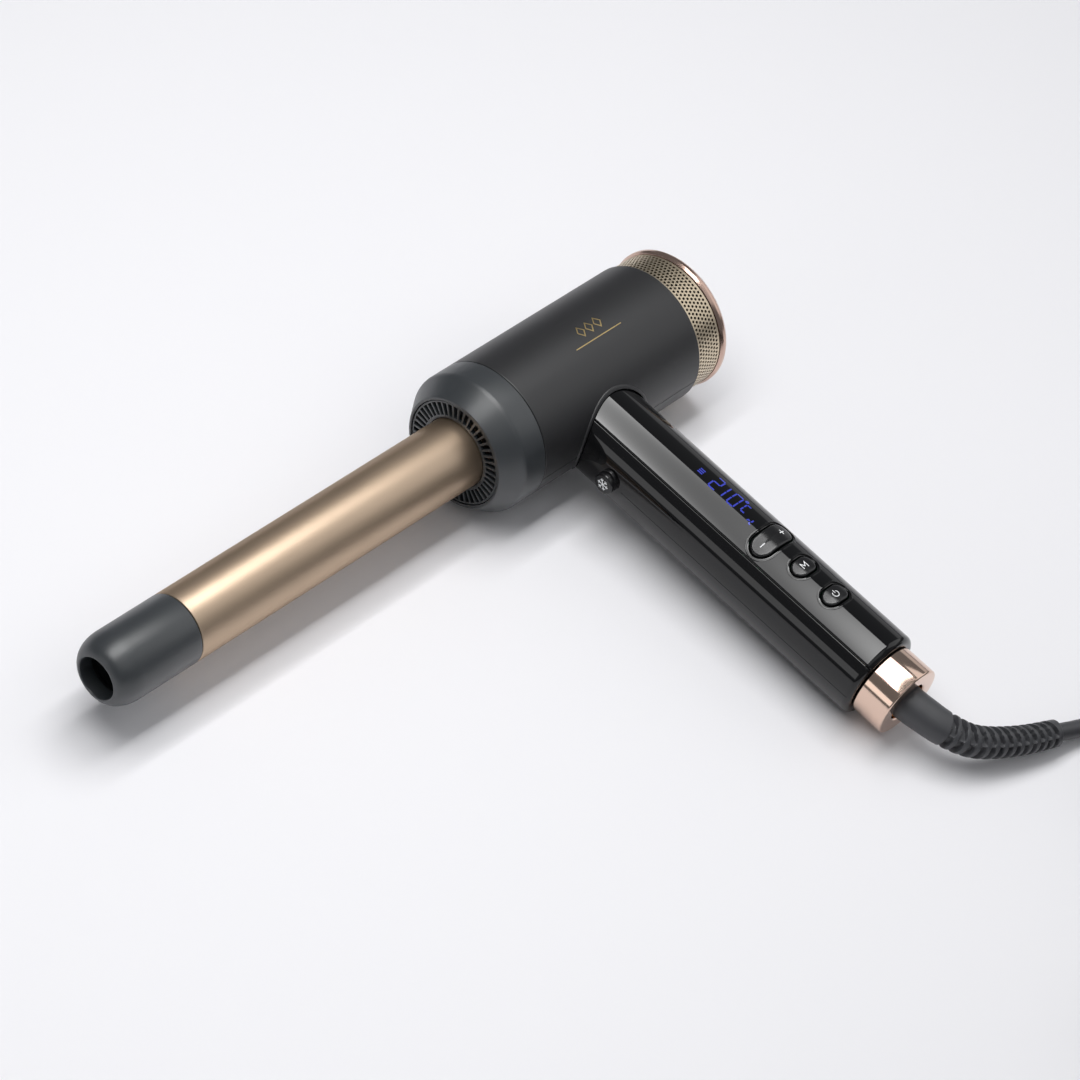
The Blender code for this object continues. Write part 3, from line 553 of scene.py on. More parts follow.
# ---- cord ----
def smooth_route(knots, spacing):
    """Points along a Catmull-Rom curve through the knots."""
    padded = [2 * knots[0] - knots[1]] + list(knots) + [2 * knots[-1] - knots[-2]]
    route = [knots[0].copy()]
    for index in range(1, len(padded) - 2):
        before, start, end, after = padded[index - 1:index + 3]
        steps = max(1, round((end - start).length / spacing))
        for step in range(1, steps + 1):
            t = step / steps
            route.append(0.5 * (
                2 * start
                + (end - before) * t
                + (2 * before - 5 * start + 4 * end - after) * t * t
                + (3 * start - before - 3 * end + after) * t * t * t
            ))
    return route


def cord_meets_coil(angle, side):
    """Where the CAD cord, running along X, stops just clear of the bundle."""
    across = COIL_RADIUS + STRAND_RADIUS * math.cos(angle)
    height = BUNDLE_HEIGHT - STRAND_RADIUS * math.sin(angle)
    clear = STRAND_RADIUS + 2 * CORD_RADIUS + GAP
    outward = COIL_RADIUS + math.sqrt(clear ** 2 - (BUNDLE_HEIGHT - height) ** 2)
    back = math.sqrt(outward ** 2 - across ** 2)
    return COIL_CENTRE + Vector((-back, side * across, height))


def coil_point(turns):
    """A point of the winding; the strand works its way once round the bundle as it goes."""
    around = math.pi / 2 - 2 * math.pi * turns
    twist = COIL_ENTRY_ANGLE + (2 * math.pi - (COIL_ENTRY_ANGLE - COIL_EXIT_ANGLE)) * turns / COIL_TURNS
    radius = COIL_RADIUS + STRAND_RADIUS * math.cos(twist)
    return COIL_CENTRE + Vector((radius * math.cos(around), radius * math.sin(around),
                                 BUNDLE_HEIGHT - STRAND_RADIUS * math.sin(twist)))


def plug_entry():
    """Where the cord enters the plug's grip."""
    start = cord_meets_coil(COIL_EXIT_ANGLE, -1)
    return Vector((start.x - 0.0400, start.y, 0.0105))


def make_cord(mouth):
    """The whole cord as one curve: through the boot, round the coil's turns, and into the plug."""
    boot = [mouth + Vector(knot) for knot in BOOT_KNOTS]
    drop = [mouth + Vector(knot) for knot in CORD_DROP_KNOTS]
    turn_points = 20
    count = int(COIL_TURNS * turn_points)
    winding = [coil_point(index / turn_points) for index in range(count + 1)]
    entry = cord_meets_coil(COIL_ENTRY_ANGLE, 1)
    tail_start = cord_meets_coil(COIL_EXIT_ANGLE, -1)
    tail_end = plug_entry()
    dips = [tail_start.lerp(tail_end, 0.30) - Vector((0, 0, 0.0032)),
            tail_start.lerp(tail_end, 0.60) - Vector((0, 0, 0.0026))]
    straight = Vector((0.0050, 0.0, 0.0))
    lead_in = smooth_route(boot + drop + [entry, winding[0]], 0.0075)
    tail = [winding[-1], tail_start] + dips + [tail_end + straight, tail_end, tail_end - 2 * straight]
    lead_out = smooth_route(tail, 0.010)
    route = lead_in[:-1] + winding + lead_out[1:]

    data = bpy.data.curves.new("mains_cord", "CURVE")
    data.dimensions = "3D"
    data.bevel_depth = CORD_RADIUS
    data.bevel_resolution = 6
    data.resolution_u = 5
    data.use_fill_caps = True
    spline = data.splines.new("BEZIER")
    spline.bezier_points.add(len(route) - 1)
    for point, place in zip(spline.bezier_points, route):
        point.co = place
        point.handle_left_type = "AUTO"
        point.handle_right_type = "AUTO"
    data.materials.append(FINISHES["cord_rubber"])
    cord = bpy.data.objects.new("mains_cord", data)
    bpy.context.scene.collection.objects.link(cord)
    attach(cord, "cord_swivel")
    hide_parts("power_cord", "cord_coil", "cord_tail")
    return cord


def across_axes(route, index):
    """Two directions square to the route at a point, the second as near to up as can be."""
    way = (route[min(index + 1, len(route) - 1)] - route[max(index - 1, 0)]).normalized()
    side = way.cross(Vector((0, 0, 1))).normalized()
    return side, side.cross(way).normalized()


def boot_radius(along, total, angle):
    """The boot's radius: a smooth neck, slanting slots with a spine between them, and an end ring."""
    radius = BOOT_START_RADIUS + (BOOT_END_RADIUS - BOOT_START_RADIUS) * along / total
    slant = BOOT_LEAN * math.cos(angle - BOOT_SPINE)
    place = (along - slant - BOOT_PLAIN) / BOOT_PITCH
    slots = int((total - BOOT_CAP - BOOT_PLAIN) / BOOT_PITCH)
    if 0.0 <= place <= slots:
        wave = abs(place - math.floor(place) - 0.5) * 2
        slot = min(1.0, max(0.0, (0.60 - wave) / 0.12))
        slot = slot * slot * (3 - 2 * slot)
        spine = max(0.0, math.cos(2 * (angle - BOOT_SPINE)))
        radius *= 1.0 - BOOT_SLOT_DEPTH * slot * (1.0 - spine ** 24)
    return radius


def make_boot(mouth):
    route = smooth_route([mouth + Vector(knot) for knot in BOOT_KNOTS], 0.00022)
    lengths = [0.0]
    for before, after in zip(route, route[1:]):
        lengths.append(lengths[-1] + (after - before).length)
    total = lengths[-1]
    loops = []
    steps = 64
    for index, centre in enumerate(route):
        side, up = across_axes(route, index)
        loop = []
        end = min(lengths[index], total - lengths[index])
        ease = 1.0
        if end < BOOT_EDGE:
            ease = 0.92 + 0.08 * math.sqrt(1 - (1 - end / BOOT_EDGE) ** 2)
        for k in range(steps):
            angle = 2 * math.pi * k / steps
            radius = boot_radius(lengths[index], total, angle) * ease
            loop.append(tuple(centre + (side * math.cos(angle) + up * math.sin(angle)) * radius))
        loops.append(loop)
    piece("ribbed_boot", skin(loops), "cord_rubber", "cord_swivel", ["cord_boot"], place=ROW, sharp=60)


# ---- the camera and the cord come first ----
MOUTH = WAND @ Vector((0.0, -MOUTH_ALONG, 0.0))
make_camera()
make_stage()
cord = make_cord(MOUTH)
make_boot(MOUTH)


# ---- carried-over CAD nodes ----
def paint_cad_nodes():
    for entry in frame["record"]["subparts"]:
        item = frame["nodes"][entry["node"]]
        for slot in item.material_slots:
            slot.material = FINISHES[entry["material_slot"]]


paint_cad_nodes()


# ---- barrel ----
def make_barrel():
    inner = BARREL_RADIUS - BARREL_WALL
    tube = rounded([
        (BARREL_RADIUS, BARREL_REAR_X, 0.0002),
        (BARREL_RADIUS, CAP_SEAM_X, 0.00035),
        (inner, CAP_SEAM_X, 0.0001),
        (inner, BARREL_REAR_X, 0.0001),
    ])
    piece("curling_barrel", lathe(tube), "champagne_aluminium", "wand", ["barrel_tube"], ALONG_BARREL)

    nose = []
    for k in range(25):
        turn = math.radians(78 * k / 24)
        nose.append((BARREL_RADIUS - NOSE_INSET * (1 - math.cos(turn)),
                     TIP_FACE_X + NOSE_LENGTH * (1 - math.sin(turn))))
    lip = arc((TIP_HOLE_RADIUS + 0.0006, TIP_FACE_X + 0.0006), 0.0006, -90, -180, 6)
    cap = [
        (BARREL_RADIUS, CAP_SEAM_X - GAP - 0.0004),
        *nose,
        *lip,
        (TIP_HOLE_RADIUS, TIP_FACE_X + 0.0060),
        (0.0105, TIP_FACE_X + 0.0090),
        (0.0105, CAP_SEAM_X + 0.0050),
        (inner - GAP, CAP_SEAM_X + 0.0050),
        (inner - GAP, CAP_SEAM_X - GAP),
        (BARREL_RADIUS - 0.0004, CAP_SEAM_X - GAP),
        (BARREL_RADIUS - 0.0001, CAP_SEAM_X - GAP - 0.0001),
    ]
    piece("tip_cap", lathe(cap), "slate_plastic", "wand", ["cool_tip"], ALONG_BARREL)


# ---- fan housing ----
def make_grille():
    """A flat ring of radial slots with softened fins."""
    inner = BARREL_RADIUS + GAP
    outer = GRILLE_RADIUS - 0.0006
    pitch = 360 / GRILLE_SLOTS
    outlines = [arc((0, 0), outer, 0, 360 - pitch / 4, 4 * GRILLE_SLOTS - 1),
                arc((0, 0), inner, 0, 360 - pitch / 4, 4 * GRILLE_SLOTS - 1)]
    for index in range(GRILLE_SLOTS):
        outlines.append(ring_slot(inner + 0.0012, outer - 0.0007, pitch * index, pitch * 0.66, 2))
    ring = prism(outlines, GRILLE_FACE_X + 0.0003, GRILLE_FACE_X + 0.0021)
    item = make_object("air_grille", ring, ALONG_BARREL)
    soften(item, 0.00012, 40)
    settle(item, "slate_plastic", "wand", ["front_grille"])


def make_front_cone():
    inner = HOUSING_RADIUS - 0.0024
    outline = rounded([
        (HOUSING_RADIUS, FRONT_SEAM_X - 0.0002, 0.0003),
        (HOUSING_RADIUS, CONE_RIDGE_X - 0.0003, 0.0040),
        (GRILLE_RADIUS + 0.0008, GRILLE_FACE_X - 0.0001, 0.0005),
        (GRILLE_RADIUS - 0.0003, GRILLE_FACE_X - 0.0001, 0.0003),
        (GRILLE_RADIUS - 0.0003, GRILLE_FACE_X + 0.0030, 0.0),
        (inner, CONE_RIDGE_X + 0.0020, 0.0010),
        (inner, FRONT_SEAM_X - 0.0002, 0.0002),
    ], 10)
    piece("front_cone", lathe(outline), "slate_plastic", "wand", ["front_shell"], ALONG_BARREL)


def make_housing():
    inner = HOUSING_RADIUS - HOUSING_WALL
    length = HOUSING_REAR_X - FRONT_SEAM_X
    rows = 60
    row = (length - 0.0008) / rows
    outside = [(HOUSING_RADIUS, HOUSING_REAR_X - 0.0004 - row * k) for k in range(rows + 1)]
    edges = [(HOUSING_RADIUS - 0.00012, FRONT_SEAM_X + 0.00012), (HOUSING_RADIUS - 0.0004, FRONT_SEAM_X)]
    back = [(HOUSING_RADIUS - 0.0004, HOUSING_REAR_X), (HOUSING_RADIUS - 0.00012, HOUSING_REAR_X - 0.00012)]
    outline = outside + edges + [(inner, FRONT_SEAM_X), (inner, HOUSING_REAR_X)] + back
    item = make_object("fan_housing", lathe(outline), ALONG_BARREL)
    opening = HANDLE_RADIUS + 0.0009
    cut(item, lathe([(0.0001, 0.010), (opening, 0.010), (opening, 0.040), (0.0001, 0.040)], 128), DOWN_HANDLE)
    middle = (HOUSING_REAR_X + FRONT_SEAM_X) / 2
    cut(item, box_shape((length + 0.010, 0.0008, 0.0003), (middle, -HOUSING_RADIUS, 0)))
    settle(item, "soft_charcoal", "wand", ["main_housing"], cylinder=(HOUSING_RADIUS, (1, 2)))


def make_arch_rim():
    """A slim raised lip that follows the housing's curve round the handle."""
    section = rounded([(0.0, -0.0006, 0.0), (0.0011, -0.0006, 0.0), (0.0011, 0.00035, 0.0003),
                       (0.0, 0.00055, 0.0002)], 4)
    loops = []
    steps = 180
    for k in range(steps):
        angle = 2 * math.pi * k / steps
        loop = []
        for out, lift in section:
            radius = HANDLE_RADIUS + 0.00045 + out
            x = radius * math.sin(angle)
            z = radius * math.cos(angle)
            shell = HOUSING_RADIUS + lift
            loop.append((x, -math.sqrt(shell ** 2 - z ** 2), z))
        loops.append(loop)
    piece("handle_collar_lip", skin(loops, joined=True), "soft_charcoal", "wand", ["arch_rim"], sharp=50)


# ---- rear filter cap ----
def make_mesh_band():
    """A thin gold band drilled with staggered rows of round holes."""
    height = (MESH_HOLES_TO - MESH_HOLES_FROM) / HOLE_ROWS
    width = 2 * math.pi / HOLE_COLUMNS
    verts = []
    faces = []

    def corner(column, along, radius):
        angle = column * width
        verts.append((radius * math.cos(angle), radius * math.sin(angle), along))
        return len(verts) - 1

    radii = (MESH_RADIUS, MESH_RADIUS - MESH_WALL)
    for row in range(HOLE_ROWS):
        low = MESH_HOLES_FROM + row * height
        shift = 0.5 * (row % 2)
        for column in range(HOLE_COLUMNS):
            rims = []
            for radius in radii:
                left = column + shift
                edge = [(left, low), (left + 0.5, low), (left + 1, low), (left + 1, low + height / 2),
                        (left + 1, low + height), (left + 0.5, low + height), (left, low + height),
                        (left, low + height / 2)]
                outer = [corner(a, b, radius) for a, b in edge]
                rim = []
                for k in range(16):
                    angle = 2 * math.pi * k / 16 - 3 * math.pi / 4
                    rim.append(corner(left + 0.5 + HOLE_RADIUS * math.cos(angle) / (MESH_RADIUS * width),
                                      low + height / 2 + HOLE_RADIUS * math.sin(angle), radius))
                for k in range(8):
                    faces.append((outer[k], outer[(k + 1) % 8],
                                  rim[(2 * k + 2) % 16], rim[2 * k + 1], rim[2 * k]))
                rims.append(rim)
            for k in range(16):
                faces.append((rims[0][k], rims[0][(k + 1) % 16], rims[1][(k + 1) % 16], rims[1][k]))

    for start, edge, shift in ((MESH_HOLES_FROM, MESH_FRONT_X, 0.0),
                               (MESH_HOLES_TO, RIM_FRONT_X - 0.0001, 0.5 * (HOLE_ROWS % 2))):
        for column in range(2 * HOLE_COLUMNS):
            a = column / 2 + shift
            b = a + 0.5
            for radius in radii:
                faces.append((corner(a, start, radius), corner(b, start, radius), corner(b, edge, radius),
                              corner(a, edge, radius)))
            faces.append((corner(a, edge, radii[0]), corner(b, edge, radii[0]), corner(b, edge, radii[1]),
                          corner(a, edge, radii[1])))
    piece("filter_band", (verts, faces), "gold_mesh", "filter_cap", ["filter_mesh"], ALONG_BARREL, sharp=40)


def make_rear_rim():
    rim = rounded([
        (RIM_OPENING, RIM_REAR_X, 0.0003),
        (MESH_RADIUS, RIM_REAR_X, 0.0006),
        (HOUSING_RADIUS, RIM_REAR_X - 0.0014, 0.0008),
        (HOUSING_RADIUS, RIM_FRONT_X + 0.0013, 0.0003),
        (0.0276, RIM_FRONT_X + 0.0003, 0.0003),
        (RIM_INSIDE, RIM_FRONT_X + 0.0002, 0.0),
        (RIM_INSIDE, RIM_REAR_X - 0.0022, 0.0),
        (RIM_OPENING, RIM_REAR_X - 0.0022, 0.0),
    ], 6)
    piece("polished_rim", lathe(rim), "satin_rose", "filter_cap", ["rear_rim"], ALONG_BARREL)


def make_inlet_plate():
    outlines = [arc((0, 0), RIM_OPENING - GAP, 0, 357, 119)]
    pitch = 360 // INLET_SLOTS
    for low, high in INLET_ROWS:
        outlines += [ring_slot(low, high, pitch * index, 18, 6) for index in range(INLET_SLOTS)]
    item = make_object("inlet_plate", prism(outlines, RIM_REAR_X - 0.0019, RIM_REAR_X - 0.0003), ALONG_BARREL)
    soften(item, 0.0002, 40)
    settle(item, "matte_black", "filter_cap", ["rear_plate"])


# ---- handle ----
def shell_section(start, end, outer, inner, count):
    """The closed outline of a curved wall, with its outside corners softened; angles in radians."""
    corner = 0.00025
    lean = corner / outer
    angles = [start + lean + (end - start - 2 * lean) * k / count for k in range(count + 1)]
    outline = [(outer, angle) for angle in angles]
    outline += [(outer - 0.3 * corner, end - 0.3 * lean), (outer - corner, end)]
    outline += [(inner, end - (end - start) * k / count) for k in range(count + 1)]
    outline += [(outer - corner, start), (outer - 0.3 * corner, start + 0.3 * lean)]
    return outline


def shell_shape(start, end, count):
    """One of the handle's two curved shells, between two angles; its lower end is rounded in."""
    rows = 110
    last = HANDLE_END - HANDLE_EDGE
    stations = [(HANDLE_TOP + (last - 0.0005 - HANDLE_TOP) * k / rows, HANDLE_RADIUS, HANDLE_INNER)
                for k in range(rows + 1)]
    stations.append((last - 0.0004, HANDLE_RADIUS, 0.0125))
    for k in range(9):
        turn = math.pi / 2 * k / 8
        outer = HANDLE_RADIUS - HANDLE_EDGE * (1 - math.cos(turn))
        stations.append((last + HANDLE_EDGE * math.sin(turn), outer, 0.0125))
    loops = []
    for along, outer, inner in stations:
        section = shell_section(start, end, outer, inner, count)
        loops.append([(r * math.cos(angle), -along, r * math.sin(angle)) for r, angle in section])
    return skin(loops)


def key_outline(half_length, half_width, inset=0.0, count=20, straight=10):
    """A stadium across the handle, drawn in by an inset; points run once round it."""
    radius = half_width - inset
    middle = half_length - half_width
    points = []
    for side, start in ((1, -90), (-1, 90)):
        points += [(side * middle + x, y) for x, y in arc((0, 0), radius, start, start + 180, count)]
        points += [(side * middle * (1 - 2 * k / straight), side * radius) for k in range(1, straight)]
    return points


def on_handle(x, along, lift):
    """A point on the side of the handle with the keys, lifted straight up from it."""
    return (x, -along, math.sqrt(HANDLE_RADIUS ** 2 - x ** 2) + lift)


def make_handle():
    """The shell with the keys, and the front shell with its notch for the finger key."""
    front_shape = shell_shape(math.pi - SHELL_SPLIT, math.pi + SHELL_SPLIT, 56)
    rear_from = math.pi + SHELL_SPLIT + SHELL_SEAM
    rear_to = 3 * math.pi - SHELL_SPLIT - SHELL_SEAM
    rear = make_object("handle_back", shell_shape(rear_from, rear_to, 150))
    for where, half_length, half_width in KEYS.values():
        outline = key_outline(half_length - 0.0002, half_width - 0.0002)
        cut(rear, prism([outline], 0.0110, 0.0220), Matrix.Translation((0, -where, 0)))
    settle(rear, "gloss_black", "wand", ["handle_rear_shell"], cylinder=(HANDLE_RADIUS, (0, 2)))

    face = make_object("handle_front", front_shape)
    foot = arc((0.0, NOTCH_BOTTOM - NOTCH_FOOT_RADIUS), NOTCH_FOOT_RADIUS, 15, 165, 24)
    other_side = [(-x, y) for x, y in reversed(NOTCH_SIDE)]
    notch = prism([[(y, x) for x, y in NOTCH_SIDE + foot + other_side]], -0.030, -0.002)
    # The notch's outline is (down the handle, across); the prism's own height becomes the barrel's axis.
    cut(face, notch, Matrix(((0, 0, 1, 0), (-1, 0, 0, 0), (0, 1, 0, 0), (0, 0, 0, 1))))
    cut(face, box_shape((0.0006, 0.1400, 0.0002), (-HANDLE_RADIUS, -0.1200, 0)))
    settle(face, "gloss_black", "wand", ["handle_front_shell"], cylinder=(HANDLE_RADIUS, (0, 2)))


def make_neck():
    outer = HANDLE_INNER - GAP
    inner = outer - 0.0020
    tube = lathe([(outer, HANDLE_TOP), (outer, 0.0560), (inner, 0.0560), (inner, HANDLE_TOP)])
    item = make_object("inner_neck", tube, DOWN_HANDLE)
    hole = lathe([(0.0001, -0.020), (0.0047, -0.020), (0.0047, -0.010), (0.0001, -0.010)], 48)
    cut(item, hole, Matrix.Translation((0, -COOL_AT, 0)) @ ALONG_BARREL)
    settle(item, "matte_black", "wand", ["handle_neck"])


# ---- keys ----
def make_keys():
    """The three keys and the slim rings round them, which follow the handle's curve."""
    names = {"rocker": ("temperature_key", "temperature_rocker"), "mode": ("mode_button", "mode_key"),
             "power": ("power_button", "power_key")}
    ring = rounded([(-0.0002, 0.00012, 0.0001), (-0.0002, -0.0012, 0.0), (0.00105, -0.0012, 0.0),
                    (0.00105, -0.0004, 0.0001), (0.0006, -0.0004, 0.0001), (0.00045, 0.00012, 0.00012)], 3)
    cap = [(0.0, -0.0052), (0.0, -0.00030)]
    for k in range(1, 7):
        turn = math.pi / 2 * k / 6
        cap.append((0.0007 * (1 - math.cos(turn)), -0.00030 + (KEY_CROWN + 0.0002) * math.sin(turn)))
    for key, (name, cad_key) in names.items():
        where, half_length, half_width = KEYS[key]
        loops = [[on_handle(x, where - y, lift) for x, y in key_outline(half_length, half_width, inset)]
                 for inset, lift in ring]
        piece(name + "_surround", skin(loops, joined=True), "gloss_black", "wand", [key + "_bezel"], sharp=40)
        inward = KEY_RIM + GAP
        reach = half_width - inward
        top = [(0.0007 + (reach - 0.0008) * k / 5, KEY_CROWN - 0.0001 + 0.0001 * k / 5) for k in range(1, 6)]
        loops = []
        for inset, lift in cap + top:
            outline = key_outline(half_length - inward, half_width - inward, inset)
            points = [on_handle(x, where - y, lift) for x, y in outline]
            loops.append([(x, y, max(z, KEY_FOOT)) for x, y, z in points])
        piece(name, skin(loops), "key_black", key, [cad_key], sharp=40)


def ribbon(strokes, width, place, depth=0.00005):
    """Thin raised strokes; place maps a flat (u, v, lift) to a point of the wand."""
    verts = []
    faces = []
    for stroke in strokes:
        closed = stroke[0] == stroke[-1]
        points = [Vector(point) for point in (stroke[:-1] if closed else stroke)]
        count = len(points)
        start = len(verts)
        for index, here in enumerate(points):
            before = points[index - 1] if closed or index else here
            after = points[(index + 1) % count] if closed or index < count - 1 else here
            back = (here - before).normalized() if (here - before).length else (after - here).normalized()
            on = (after - here).normalized() if (after - here).length else back
            middle = (back + on).normalized()
            side = Vector((-middle.y, middle.x)) * width / 2 / max(0.5, middle.dot(on))
            for sign, lift in ((1, 0.0), (-1, 0.0), (-1, depth), (1, depth)):
                point = here + side * sign
                verts.append(place(point.x, point.y, lift))
        for index in range(count if closed else count - 1):
            a = start + 4 * index
            b = start + 4 * ((index + 1) % count)
            faces += [(a + k, a + (k + 1) % 4, b + (k + 1) % 4, b + k) for k in range(4)]
        if not closed:
            last = start + 4 * (count - 1)
            faces += [(start, start + 1, start + 2, start + 3), (last, last + 1, last + 2, last + 3)]
    return verts, faces


def fine_line(points, step=0.0004):
    """The same line with points close enough together to follow a curved face."""
    line = [points[0]]
    for start, end in zip(points, points[1:]):
        count = max(1, round(math.dist(start, end) / step))
        line += [(start[0] + (end[0] - start[0]) * k / count, start[1] + (end[1] - start[1]) * k / count)
                 for k in range(1, count + 1)]
    return line


def make_legends():
    """The plus, minus, M and power signs on the keys."""
    across = [(-MARK_HALF, 0.0), (MARK_HALF, 0.0)]
    upright = [(0.0, -MARK_HALF), (0.0, MARK_HALF)]
    zigzag = [(-0.0012, -0.0013), (-0.0012, 0.0013), (0.0, -0.0004), (0.0012, 0.0013), (0.0012, -0.0013)]
    ring = arc((0, 0), 0.0013, 130, 410, 24)
    bar = fine_line([(0.0, 0.0003), (0.0, 0.0017)])
    marks = (
        # piece, key, place across the key, width of a stroke, strokes
        ("plus_mark", "rocker", 0.0053, 0.00040, [fine_line(across), fine_line(upright)]),
        ("minus_mark", "rocker", -0.0056, 0.00040, [fine_line(across)]),
        ("mode_mark", "mode", 0.0, 0.00032, [fine_line(zigzag)]),
        ("power_mark", "power", 0.0, 0.00032, [ring, bar]),
    )
    for name, key, at_x, width, strokes in marks:
        along = KEYS[key][0]

        def on_key(u, v, lift):
            return on_handle(at_x + u, along - v, KEY_CROWN + lift - 0.00001)

        piece(name, ribbon(strokes, width, on_key), "print_white", key)


def make_ornament():
    """Three diamonds over a thin rule, laid on the housing's curve."""
    def on_housing(u, v, lift):
        radius = HOUSING_RADIUS + lift
        return (u, v, math.sqrt(radius ** 2 - v ** 2))

    diamonds = []
    for middle in (0.0030, 0.0075, 0.0120):
        diamonds.append([(middle - 0.0017, 0.0014), (middle, 0.0038), (middle + 0.0017, 0.0014),
                         (middle, -0.0010), (middle - 0.0017, 0.0014)])
    rule = [fine_line([(-0.0050, -0.0040), (0.0200, -0.0040)])]
    piece("gold_ornament", ribbon([fine_line(line) for line in diamonds], 0.00045, on_housing, 0.00004),
          "print_gold", "wand")
    piece("gold_rule", ribbon(rule, 0.00035, on_housing, 0.00004), "print_gold", "wand")


def make_cool_key():
    """The round finger key with its two ears and a snowflake."""
    outline = rounded([
        (0.0002, -0.0146, 0.0),
        (0.0040, -0.0146, 0.0),
        (0.0040, -0.0176, 0.0),
        (COOL_RADIUS, -0.0176, 0.0),
        (COOL_RADIUS, -0.0210, 0.0008),
        (0.0002, -0.0209, 0.0),
    ], 6)
    at_key = Matrix.Translation((0, -COOL_AT, 0))
    item = make_object("finger_key", lathe(outline, SMALL_STEPS, joined=False), at_key @ ALONG_BARREL)
    middle = 0.0021
    ears = []
    for side, start in ((1, -90), (-1, 90)):
        ears += [(side * middle + x, y) for x, y in arc((0, 0), 0.0034, start, start + 180, 16)]
    flange = make_object("flange", prism([ears], -0.0189, -0.0177), at_key @ ALONG_BARREL)
    soften(flange, 0.0003, 50)
    combine(item, flange, "UNION")
    settle(item, "key_black", "cool_shot", ["cool_key"])

    arms = []
    for index in range(3):
        turn = math.radians(60 * index)
        out = Vector((math.cos(turn), math.sin(turn)))
        arms.append([tuple(-out * 0.0025), tuple(out * 0.0025)])
        for sign in (-1, 1):
            knee = out * sign * 0.0015
            for lean in (-1, 1):
                tip = knee + Matrix.Rotation(lean * math.radians(50), 2) @ (out * sign) * 0.0009
                arms.append([tuple(knee), tuple(tip)])

    def on_face(u, v, lift):
        return (COOL_FACE_X - lift, -COOL_AT + u, v)

    piece("snowflake_mark", ribbon(arms, 0.00034, on_face, 0.00008), "print_white", "cool_shot")


# ---- display ----
def digit_strokes(shape, left, bottom, width, height):
    """The lit bars of a seven-bar digit, as short strokes in (reading, up)."""
    gap = 0.00022
    right = left + width
    top = bottom + height
    middle = bottom + height / 2
    bars = {
        "a": [(left + gap, top), (right - gap, top)],
        "b": [(right, top - gap), (right, middle + gap)],
        "c": [(right, middle - gap), (right, bottom + gap)],
        "d": [(left + gap, bottom), (right - gap, bottom)],
        "e": [(left, bottom + gap), (left, middle - gap)],
        "f": [(left, middle + gap), (left, top - gap)],
        "g": [(left + gap, middle), (right - gap, middle)],
    }
    return [bars[letter] for letter in SEGMENTS[shape]]


def make_display():
    """The temperature, an airflow sign and a small fan, under the gloss."""
    def under_gloss(u, v, lift):
        return on_handle(v, u, lift + 0.00001)

    digits = []
    for shape, left, width in (("2", 0.0738, 0.0034), ("1", 0.0782, 0.0022), ("0", 0.0832, 0.0034)):
        digits += digit_strokes(shape, left, DIGIT_BOTTOM, width, DIGIT_HEIGHT)
    digits += digit_strokes("C", 0.0892, -0.0006, 0.0022, 0.0044)
    degree = arc((0.0882, 0.0050), 0.0005, 0, 360, 12)
    degree[-1] = degree[0]
    strokes = [fine_line(stroke) for stroke in digits] + [degree]
    piece("display_digits", ribbon(strokes, 0.00062, under_gloss, 0.00003), "display_blue", "wand")

    icons = [[(0.0668, across), (0.0692, across)] for across in (0.0008, 0.0018, -0.0002)]
    centre = Vector((0.0953, -0.0017))
    for index in range(3):
        turn = math.radians(120 * index + 30)
        blade = []
        for reach, bend in ((0.0003, 0.0), (0.0009, 0.25), (0.0015, 0.7)):
            blade.append(tuple(centre + Vector((math.cos(turn + bend), math.sin(turn + bend))) * reach))
        icons.append(blade)
    strokes = [fine_line(stroke) for stroke in icons]
    piece("display_icons", ribbon(strokes, 0.00055, under_gloss, 0.00003), "display_blue", "wand")


# ---- cord end ----
def make_collar():
    outline = rounded([
        (SOCKET_RADIUS + 0.0006, COLLAR_END, 0.0006),
        (COLLAR_RADIUS, COLLAR_END, 0.0007),
        (COLLAR_RADIUS, HANDLE_END + GAP, 0.0006),
        (0.0095, HANDLE_END + GAP, 0.0),
        (0.0095, HANDLE_END + 0.0040, 0.0),
        (SOCKET_RADIUS, HANDLE_END + 0.0055, 0.0),
        (SOCKET_RADIUS, COLLAR_END - 0.0004, 0.0002),
    ], 6)
    piece("polished_collar", lathe(outline), "rose_gold", "wand", ["end_collar"], DOWN_HANDLE)


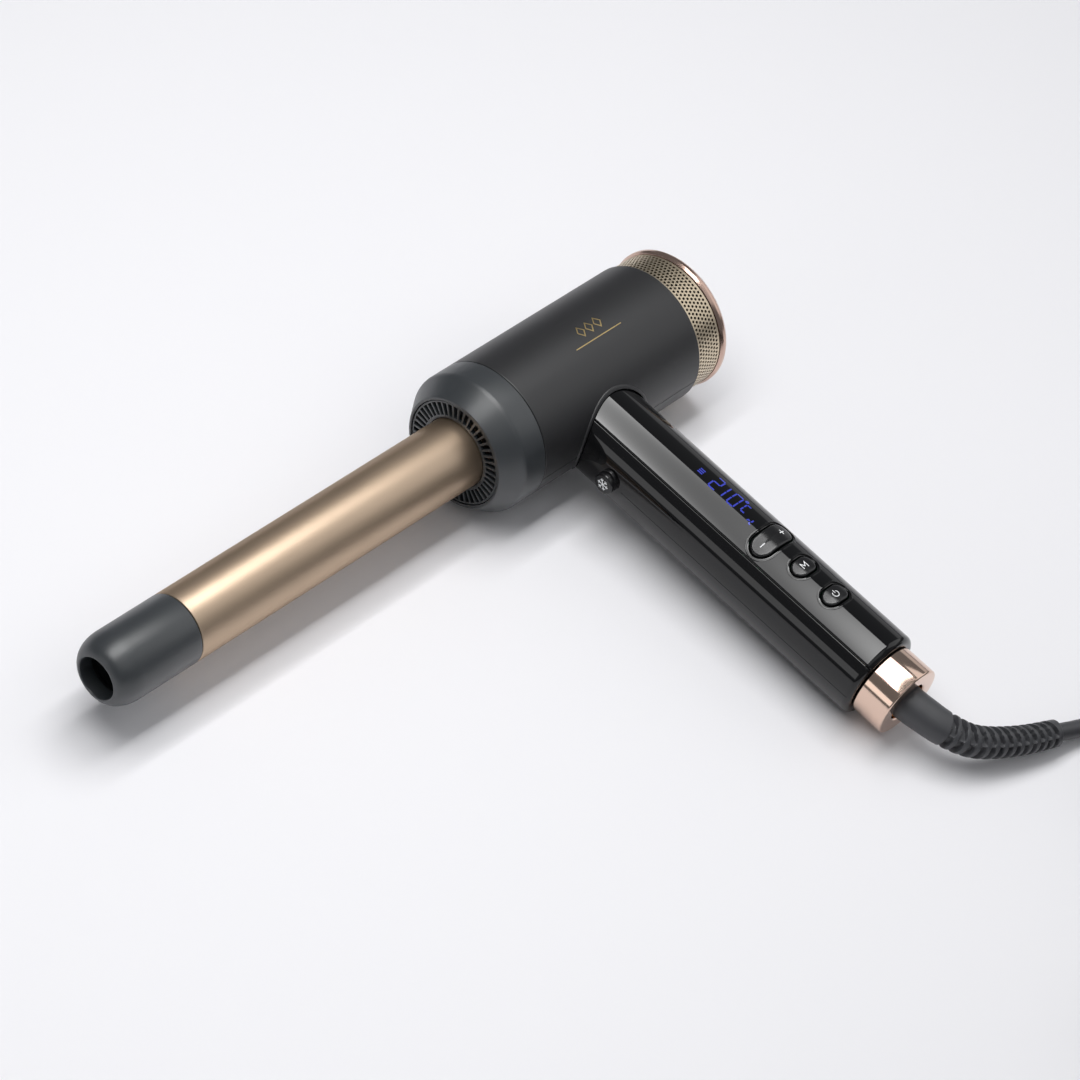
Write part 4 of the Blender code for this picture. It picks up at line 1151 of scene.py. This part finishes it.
# ---- plug ----
def make_plug_sleeve():
    """The ribbed grip between the cord and the plug."""
    low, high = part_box("plug_grip")
    length = high.x - low.x
    centre = (low + high) / 2
    loops = []
    rows = 96
    for k in range(rows + 1):
        t = k / rows
        radius = GRIP_RADIUS + (GRIP_SLIM - GRIP_RADIUS) * t
        wave = math.cos(2 * math.pi * GRIP_RIBS * t)
        if 0.06 < t < 0.94:
            radius -= GRIP_RIB_DEPTH * (0.5 - 0.5 * max(-1.0, min(1.0, 2.2 * wave)))
        loops.append([(low.x + length * t, centre.y + y, centre.z + z) for y, z, _ in circle(radius, 40)])
    piece("plug_sleeve", skin(loops), "cord_rubber", "cord_swivel", ["plug_grip"], place=ROW, sharp=50)


def pocket_for(name, top, depth):
    """A box a little wider than a CAD node, standing across the plug's face."""
    low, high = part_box(name)
    size = [high[k] - low[k] + 0.0006 for k in (0, 1)] + [depth]
    return box_shape(size, ((low.x + high.x) / 2, (low.y + high.y) / 2, top + 0.0010))


def make_plug_housing():
    """The plug's soft-edged body, with pockets for the CAD's pins and fuse cover, which stay."""
    low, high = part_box("plug_body")
    middle = (low + high) / 2
    half_x = (high.x - low.x) / 2
    half_y = (high.y - low.y) / 2
    depth = high.z - low.z
    narrow = half_y * PLUG_NARROW
    # Each row: how far the outline is drawn in, and the height above the plug's underside.
    profile = [(0.0022, 0.0), (0.0009, 0.0004), (0.0002, 0.0014), (0.0, 0.0030), (0.0, depth - 0.0030),
               (0.0002, depth - 0.0012), (0.0008, depth - 0.0003), (0.0016, depth)]
    loops = []
    for inset, z in profile:
        x = half_x - inset
        outline = rounded([(-x, -narrow + inset, 0.0100), (x, -half_y + inset, 0.0080),
                           (x, half_y - inset, 0.0080), (-x, narrow - inset, 0.0100)], 12)
        loops.append([(middle.x + a, middle.y + b, low.z + z) for a, b in outline])
    body = make_object("plug_housing", skin(loops))
    for name in ("plug_pin_live", "plug_pin_neutral", "plug_pin_earth"):
        cut(body, pocket_for(name, high.z, 0.0100))
    cut(body, pocket_for("plug_fuse_cover", high.z, 0.0050))
    settle(body, "matte_black", "cord_swivel", ["plug_body"], place=ROW)


make_barrel()
make_grille()
make_front_cone()
make_housing()
make_arch_rim()
make_mesh_band()
make_rear_rim()
make_inlet_plate()
make_handle()
make_neck()
make_keys()
make_legends()
make_ornament()
make_cool_key()
make_display()
make_collar()
make_plug_sleeve()
make_plug_housing()
